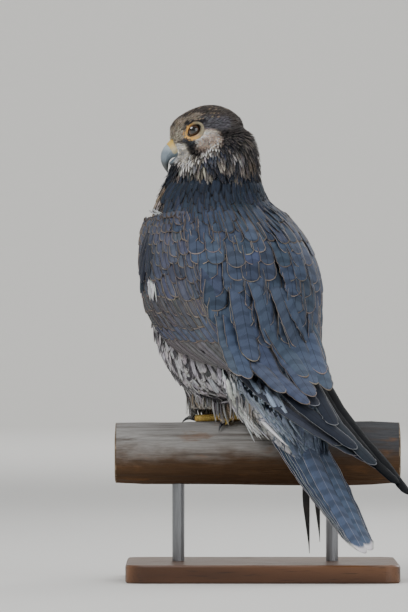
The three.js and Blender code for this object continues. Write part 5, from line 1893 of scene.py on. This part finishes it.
def foot_finish():
    board = new_material("foot_scales", 0.45, Subsurface_Weight=0.06, Subsurface_Radius=skin_glow)
    space = board.space()
    scales = board.cells(space, scale_pitch, feature="DISTANCE_TO_EDGE")
    seed = board.apart(board.cells(space, scale_pitch, "Color"))[0]
    cloud = board.noise(space, 120, 3.0)
    colour = board.blend(board.fade(scales, 0.0, 0.12), tint(214, 160, 76), tint(255, 222, 120))
    colour = board.blend(board.times(seed, 0.3), colour, tint(240, 204, 120))
    colour = board.blend(board.fade(cloud, 0.55, 0.8, 0.0, 0.5), colour, tint(150, 112, 66))
    return board.finish(colour, board.fade(cloud, 0.3, 0.7, 0.36, 0.55),
                        board.fade(scales, 0.0, 0.2), 0.6, 0.7 * mm)


def claw_finish():
    board = new_material("claw_horn", 0.5, Coat_Weight=0.3, Coat_Roughness=0.2)
    lines = board.noise(board.space(), 700, 3.0)
    return board.finish(board.blend(lines, tint(18, 18, 22), tint(52, 54, 62)),
                        board.fade(lines, 0.3, 0.7, 0.22, 0.42), lines, 0.25, 0.3 * mm)


foot_material, claw_material = foot_finish(), claw_finish()
for side in wing_sides:
    foot = remeshed("foot_scaled_" + side, ["foot_" + side], foot_voxel, 6)
    stand_for(foot, "foot_skin", foot_material, "foot_" + side)
    for toe in ("outer", "middle", "inner", "hind"):
        claw = remeshed(f"claw_horn_{side}_{toe}", [f"claw_{side}_{toe}"], claw_voxel, 4)
        stand_for(claw, "claw_horn", claw_material, f"claw_{side}_{toe}")
print("foot:", len(foot.data.polygons), "faces")

# %% [markdown]
# The perch is a pole without bark that has stood in the weather for years. A bump alone
# would leave its outline smooth, so its cracks are cut into the mesh. Rays shot at the solid
# log give its own uneven girth, and waves and cracks are added to that.

# %% Log
log_middle, log_height, log_length, log_radius = -4.0, 111.8, 252.0, 28.2
log_frame = np.array(Matrix.Translation(Vector((log_middle, 0, log_height)) * mm))
wave_count, crack_count = 24, 30
wave_high = 0.05
log_waves = chance.uniform(0, 2 * np.pi, (wave_count, 3))
crack_turns = chance.uniform(0, 2 * np.pi, crack_count)
crack_middles = chance.uniform(-120, 120, crack_count)
crack_reaches = chance.uniform(18, 70, crack_count)
crack_depths = chance.uniform(0.5, 1.9, crack_count)
crack_widths = chance.uniform(0.007, 0.02, crack_count)
log_tree = tree_of(merged_copy("log_copy", ["perch_log"]))
bpy.data.objects.remove(bpy.data.objects["log_copy"])
log_edge, probe_inset, saw_high = 0.08, 2.5, 0.25


def log_girth(turn, x):
    """How far the solid log reaches from its axis at each turn and x, found by rays."""
    reach = np.zeros(len(turn))
    far_off = 0.1
    for index in range(len(turn)):
        probe_x = float(np.clip(x[index], log_middle - log_length / 2 + probe_inset,
                                log_middle + log_length / 2 - probe_inset))
        start = Vector((probe_x, 0.0, log_height)) * mm
        away = Vector((0, math.cos(turn[index]), math.sin(turn[index])))
        hit = log_tree.ray_cast(start + away * far_off, -away)
        reach[index] = far_off / mm - hit[3] / mm if hit[0] is not None else log_radius
    return reach


def log_dent(turn, x):
    """Soft waves of the surface, and narrow cracks that drift along the grain."""
    dent = np.zeros(len(turn))
    for phase in log_waves:
        number = 2 + int(phase[0] * 3)
        dent += wave_high * np.sin(number * turn + phase[1] + 0.02 * x * np.sin(phase[2]))
    for where, middle_x, long, deep, wide in zip(crack_turns, crack_middles, crack_reaches,
                                                 crack_depths, crack_widths):
        drift = where + 0.0009 * (x - middle_x) + 0.012 * np.sin(0.11 * x + where * 9)
        off = np.angle(np.exp(1j * (turn - drift)))
        inside = np.clip(1 - ((x - middle_x) / long) ** 2, 0, 1)
        dent -= deep * inside * np.exp(-(off / wide) ** 2)
    return dent


def log_place(across, along):
    """The side of the log between its edges, and its two sawn ends beyond them."""
    turn = 2 * np.pi * across
    share = np.clip((along - log_edge) / (1 - 2 * log_edge), 0, 1)
    x = log_middle + log_length * (share - 0.5)
    inward = np.clip(np.minimum(along, 1 - along) / log_edge, 0, 1)
    end = np.sign(along - 0.5)
    reach = log_girth(turn, x)
    saw = saw_high * np.sin(reach * inward * 1.9 + 3 * np.sin(turn)) * (inward < 0.97)
    radius = (reach + log_dent(turn, x) * (inward > 0.98)) * inward
    return np.stack([x + end * saw * (inward < 1), radius * np.cos(turn),
                     log_height + radius * np.sin(turn)], -1) * mm


log = bent_grid("weathered_pole", 360, 110, log_place)
keep_place(log, log_frame)
print("log:", len(log.data.polygons), "faces")

# %% [markdown]
# The wood could be one image of grey planks. Here its colour is mixed from what weather did
# and from painted light: grain along the pole, grey where rain and sun reach and lighter on top
# as painted light, brown and darker below as painted shade, darker towards the right end as
# painted shade under the tail, stains, and rings with dark checks on the sawn ends.

# %% Weathered wood
end_middle, end_edge = 124.4, 125.4


def sawn_end(board, away, turn, stain_place):
    """Colour and height of the sawn ends."""
    bent_rings = board.scaled(board.noise(stain_place, 0.12), 9.0, board.times(away, 3.4))
    rings = board.work("SINE", bent_rings)
    checks = board.noise(board.together(board.times(turn, 3.0), board.times(away, 0.05)),
                         2.4, 3.0)
    colour = board.blend(board.fade(rings, -0.6, 0.9), tint(92, 76, 60), tint(158, 140, 116))
    colour = board.blend(board.fade(checks, 0.62, 0.7), colour, tint(40, 32, 26))
    return colour, board.scaled(rings, 0.2, board.fade(checks, 0.62, 0.7, 1.0, 0.0))


def wood_finish():
    board = new_material("weathered_wood", 0.2)
    x, y, z = place_parts(board)
    fine = board.noise(board.together(board.times(x, 0.03), y, z), 1.5, 5.0, 0.65)
    wide = board.noise(board.together(board.times(x, 0.03), y, z), 0.28, 4.0, 0.6)
    stain_place = board.together(board.times(x, 0.35), y, z)
    stain = board.noise(stain_place, 0.07, 4.0, 0.6)
    brown = board.blend(fine, tint(50, 36, 26), tint(104, 78, 54))
    grey = board.blend(fine, tint(104, 101, 98), tint(186, 184, 181))
    painted_shade_grey = board.blend(fine, tint(48, 49, 52), tint(84, 85, 88))
    # painted shade: the grey darkens towards the right end of the log, under the hanging tail and
    # wing tips
    grey = board.blend(board.fade(x, 0, 90), grey, painted_shade_grey)
    # grey above and brown below: weathering, with the lighter top as painted light and the darker
    # underside as painted shade
    wood = board.blend(board.fade(board.scaled(stain, 26.0, z), 2, 24), brown, grey)
    wood = board.blend(board.fade(wide, 0.52, 0.72, 0.0, 0.65), wood, tint(70, 58, 48))
    wood = board.blend(board.fade(stain, 0.56, 0.7, 0.0, 0.45), wood, tint(122, 84, 50))
    on_end = board.fade(board.work("ABSOLUTE", x), end_middle, end_edge)
    end_wood, end_height = sawn_end(board, board.length(y, z), board.work("ARCTAN2", z, y),
                                    stain_place)
    height = board.put("Mix", {0: on_end, 2: board.scaled(wide, 0.8, fine),
                                         3: end_height}, data_type="FLOAT").outputs[0]
    return board.finish(board.blend(on_end, wood, end_wood), board.fade(fine, 0.2, 0.8, 0.95, 0.7),
                        height, 0.75, 1.1 * mm)


stand_for(log, "weathered_wood", wood_finish(), "perch_log")

# %% [markdown]
# The display stand is plain: an oiled hardwood base and two brushed steel rods. The jesses
# are straps of blackened leather. These solids could be remade too, but they are smooth
# enough, so they keep their shape and get finished materials.

# %% Stand and straps


def walnut_finish():
    board = new_material("oiled_walnut", 0.4, Coat_Weight=0.15, Coat_Roughness=0.35)
    space = board.space()
    stretched = board.put("Mapping", {"Vector": space, "Scale": (4.0, 55.0, 55.0)})
    walnut = board.put("TexWave", {
        "Vector": stretched.outputs[0], "Scale": 0.32, "Distortion": 7.0, "Detail": 3.0,
        "Detail Scale": 0.8}, bands_direction="Y").outputs["Fac"]
    pores = board.noise(space, 900, 2.0, 0.5, (0.05, 1, 1))
    colour = board.blend(walnut, tint(66, 42, 28), tint(122, 84, 56))
    colour = board.blend(board.fade(board.noise(space, 9, 2.0), 0.3, 0.7, 0.0, 0.35), colour,
                         tint(96, 62, 40))
    colour = board.blend(board.fade(pores, 0.58, 0.72, 0.0, 0.6), colour, tint(34, 22, 15))
    return board.finish(colour, board.fade(pores, 0.4, 0.7, 0.34, 0.55),
                        board.fade(pores, 0.5, 0.75, 1.0, 0.0), 0.25, 0.3 * mm)


def steel_finish():
    board = new_material("brushed_steel", Metallic=1.0)
    brushing = board.noise(board.space(), 1400, 3.0, 0.6, (1, 1, 0.03))
    smudge = board.noise(board.space(), 60, 3.0)
    return board.finish(board.blend(brushing, tint(120, 122, 126), tint(172, 174, 178)),
                        board.scaled(smudge, 0.2, board.fade(brushing, 0.2, 0.8, 0.2, 0.36)),
                        brushing, 0.12, 0.2 * mm)


def leather_finish():
    board = new_material("black_leather", 0.4)
    cells = board.cells(board.space(), 1100.0, feature="DISTANCE_TO_EDGE")
    wear = board.noise(board.space(), 90, 4.0, 0.6)
    colour = board.blend(board.fade(wear, 0.5, 0.75, 0.0, 0.6), tint(24, 22, 22), tint(62, 54, 48))
    return board.finish(colour, board.fade(wear, 0.3, 0.7, 0.45, 0.68),
                        board.fade(cells, 0.0, 0.25), 0.35, 0.3 * mm)


solid_finishes = {walnut_finish: ["stand_base"],
                  steel_finish: ["stand_rod_left", "stand_rod_right"],
                  leather_finish: ["jess_left", "jess_right"]}
for finish, node_names in solid_finishes.items():
    material = finish()
    for node_name in node_names:
        for material_slot in nodes[node_name].material_slots:
            material_slot.material = material
    print(material.name, "on", ", ".join(node_names))
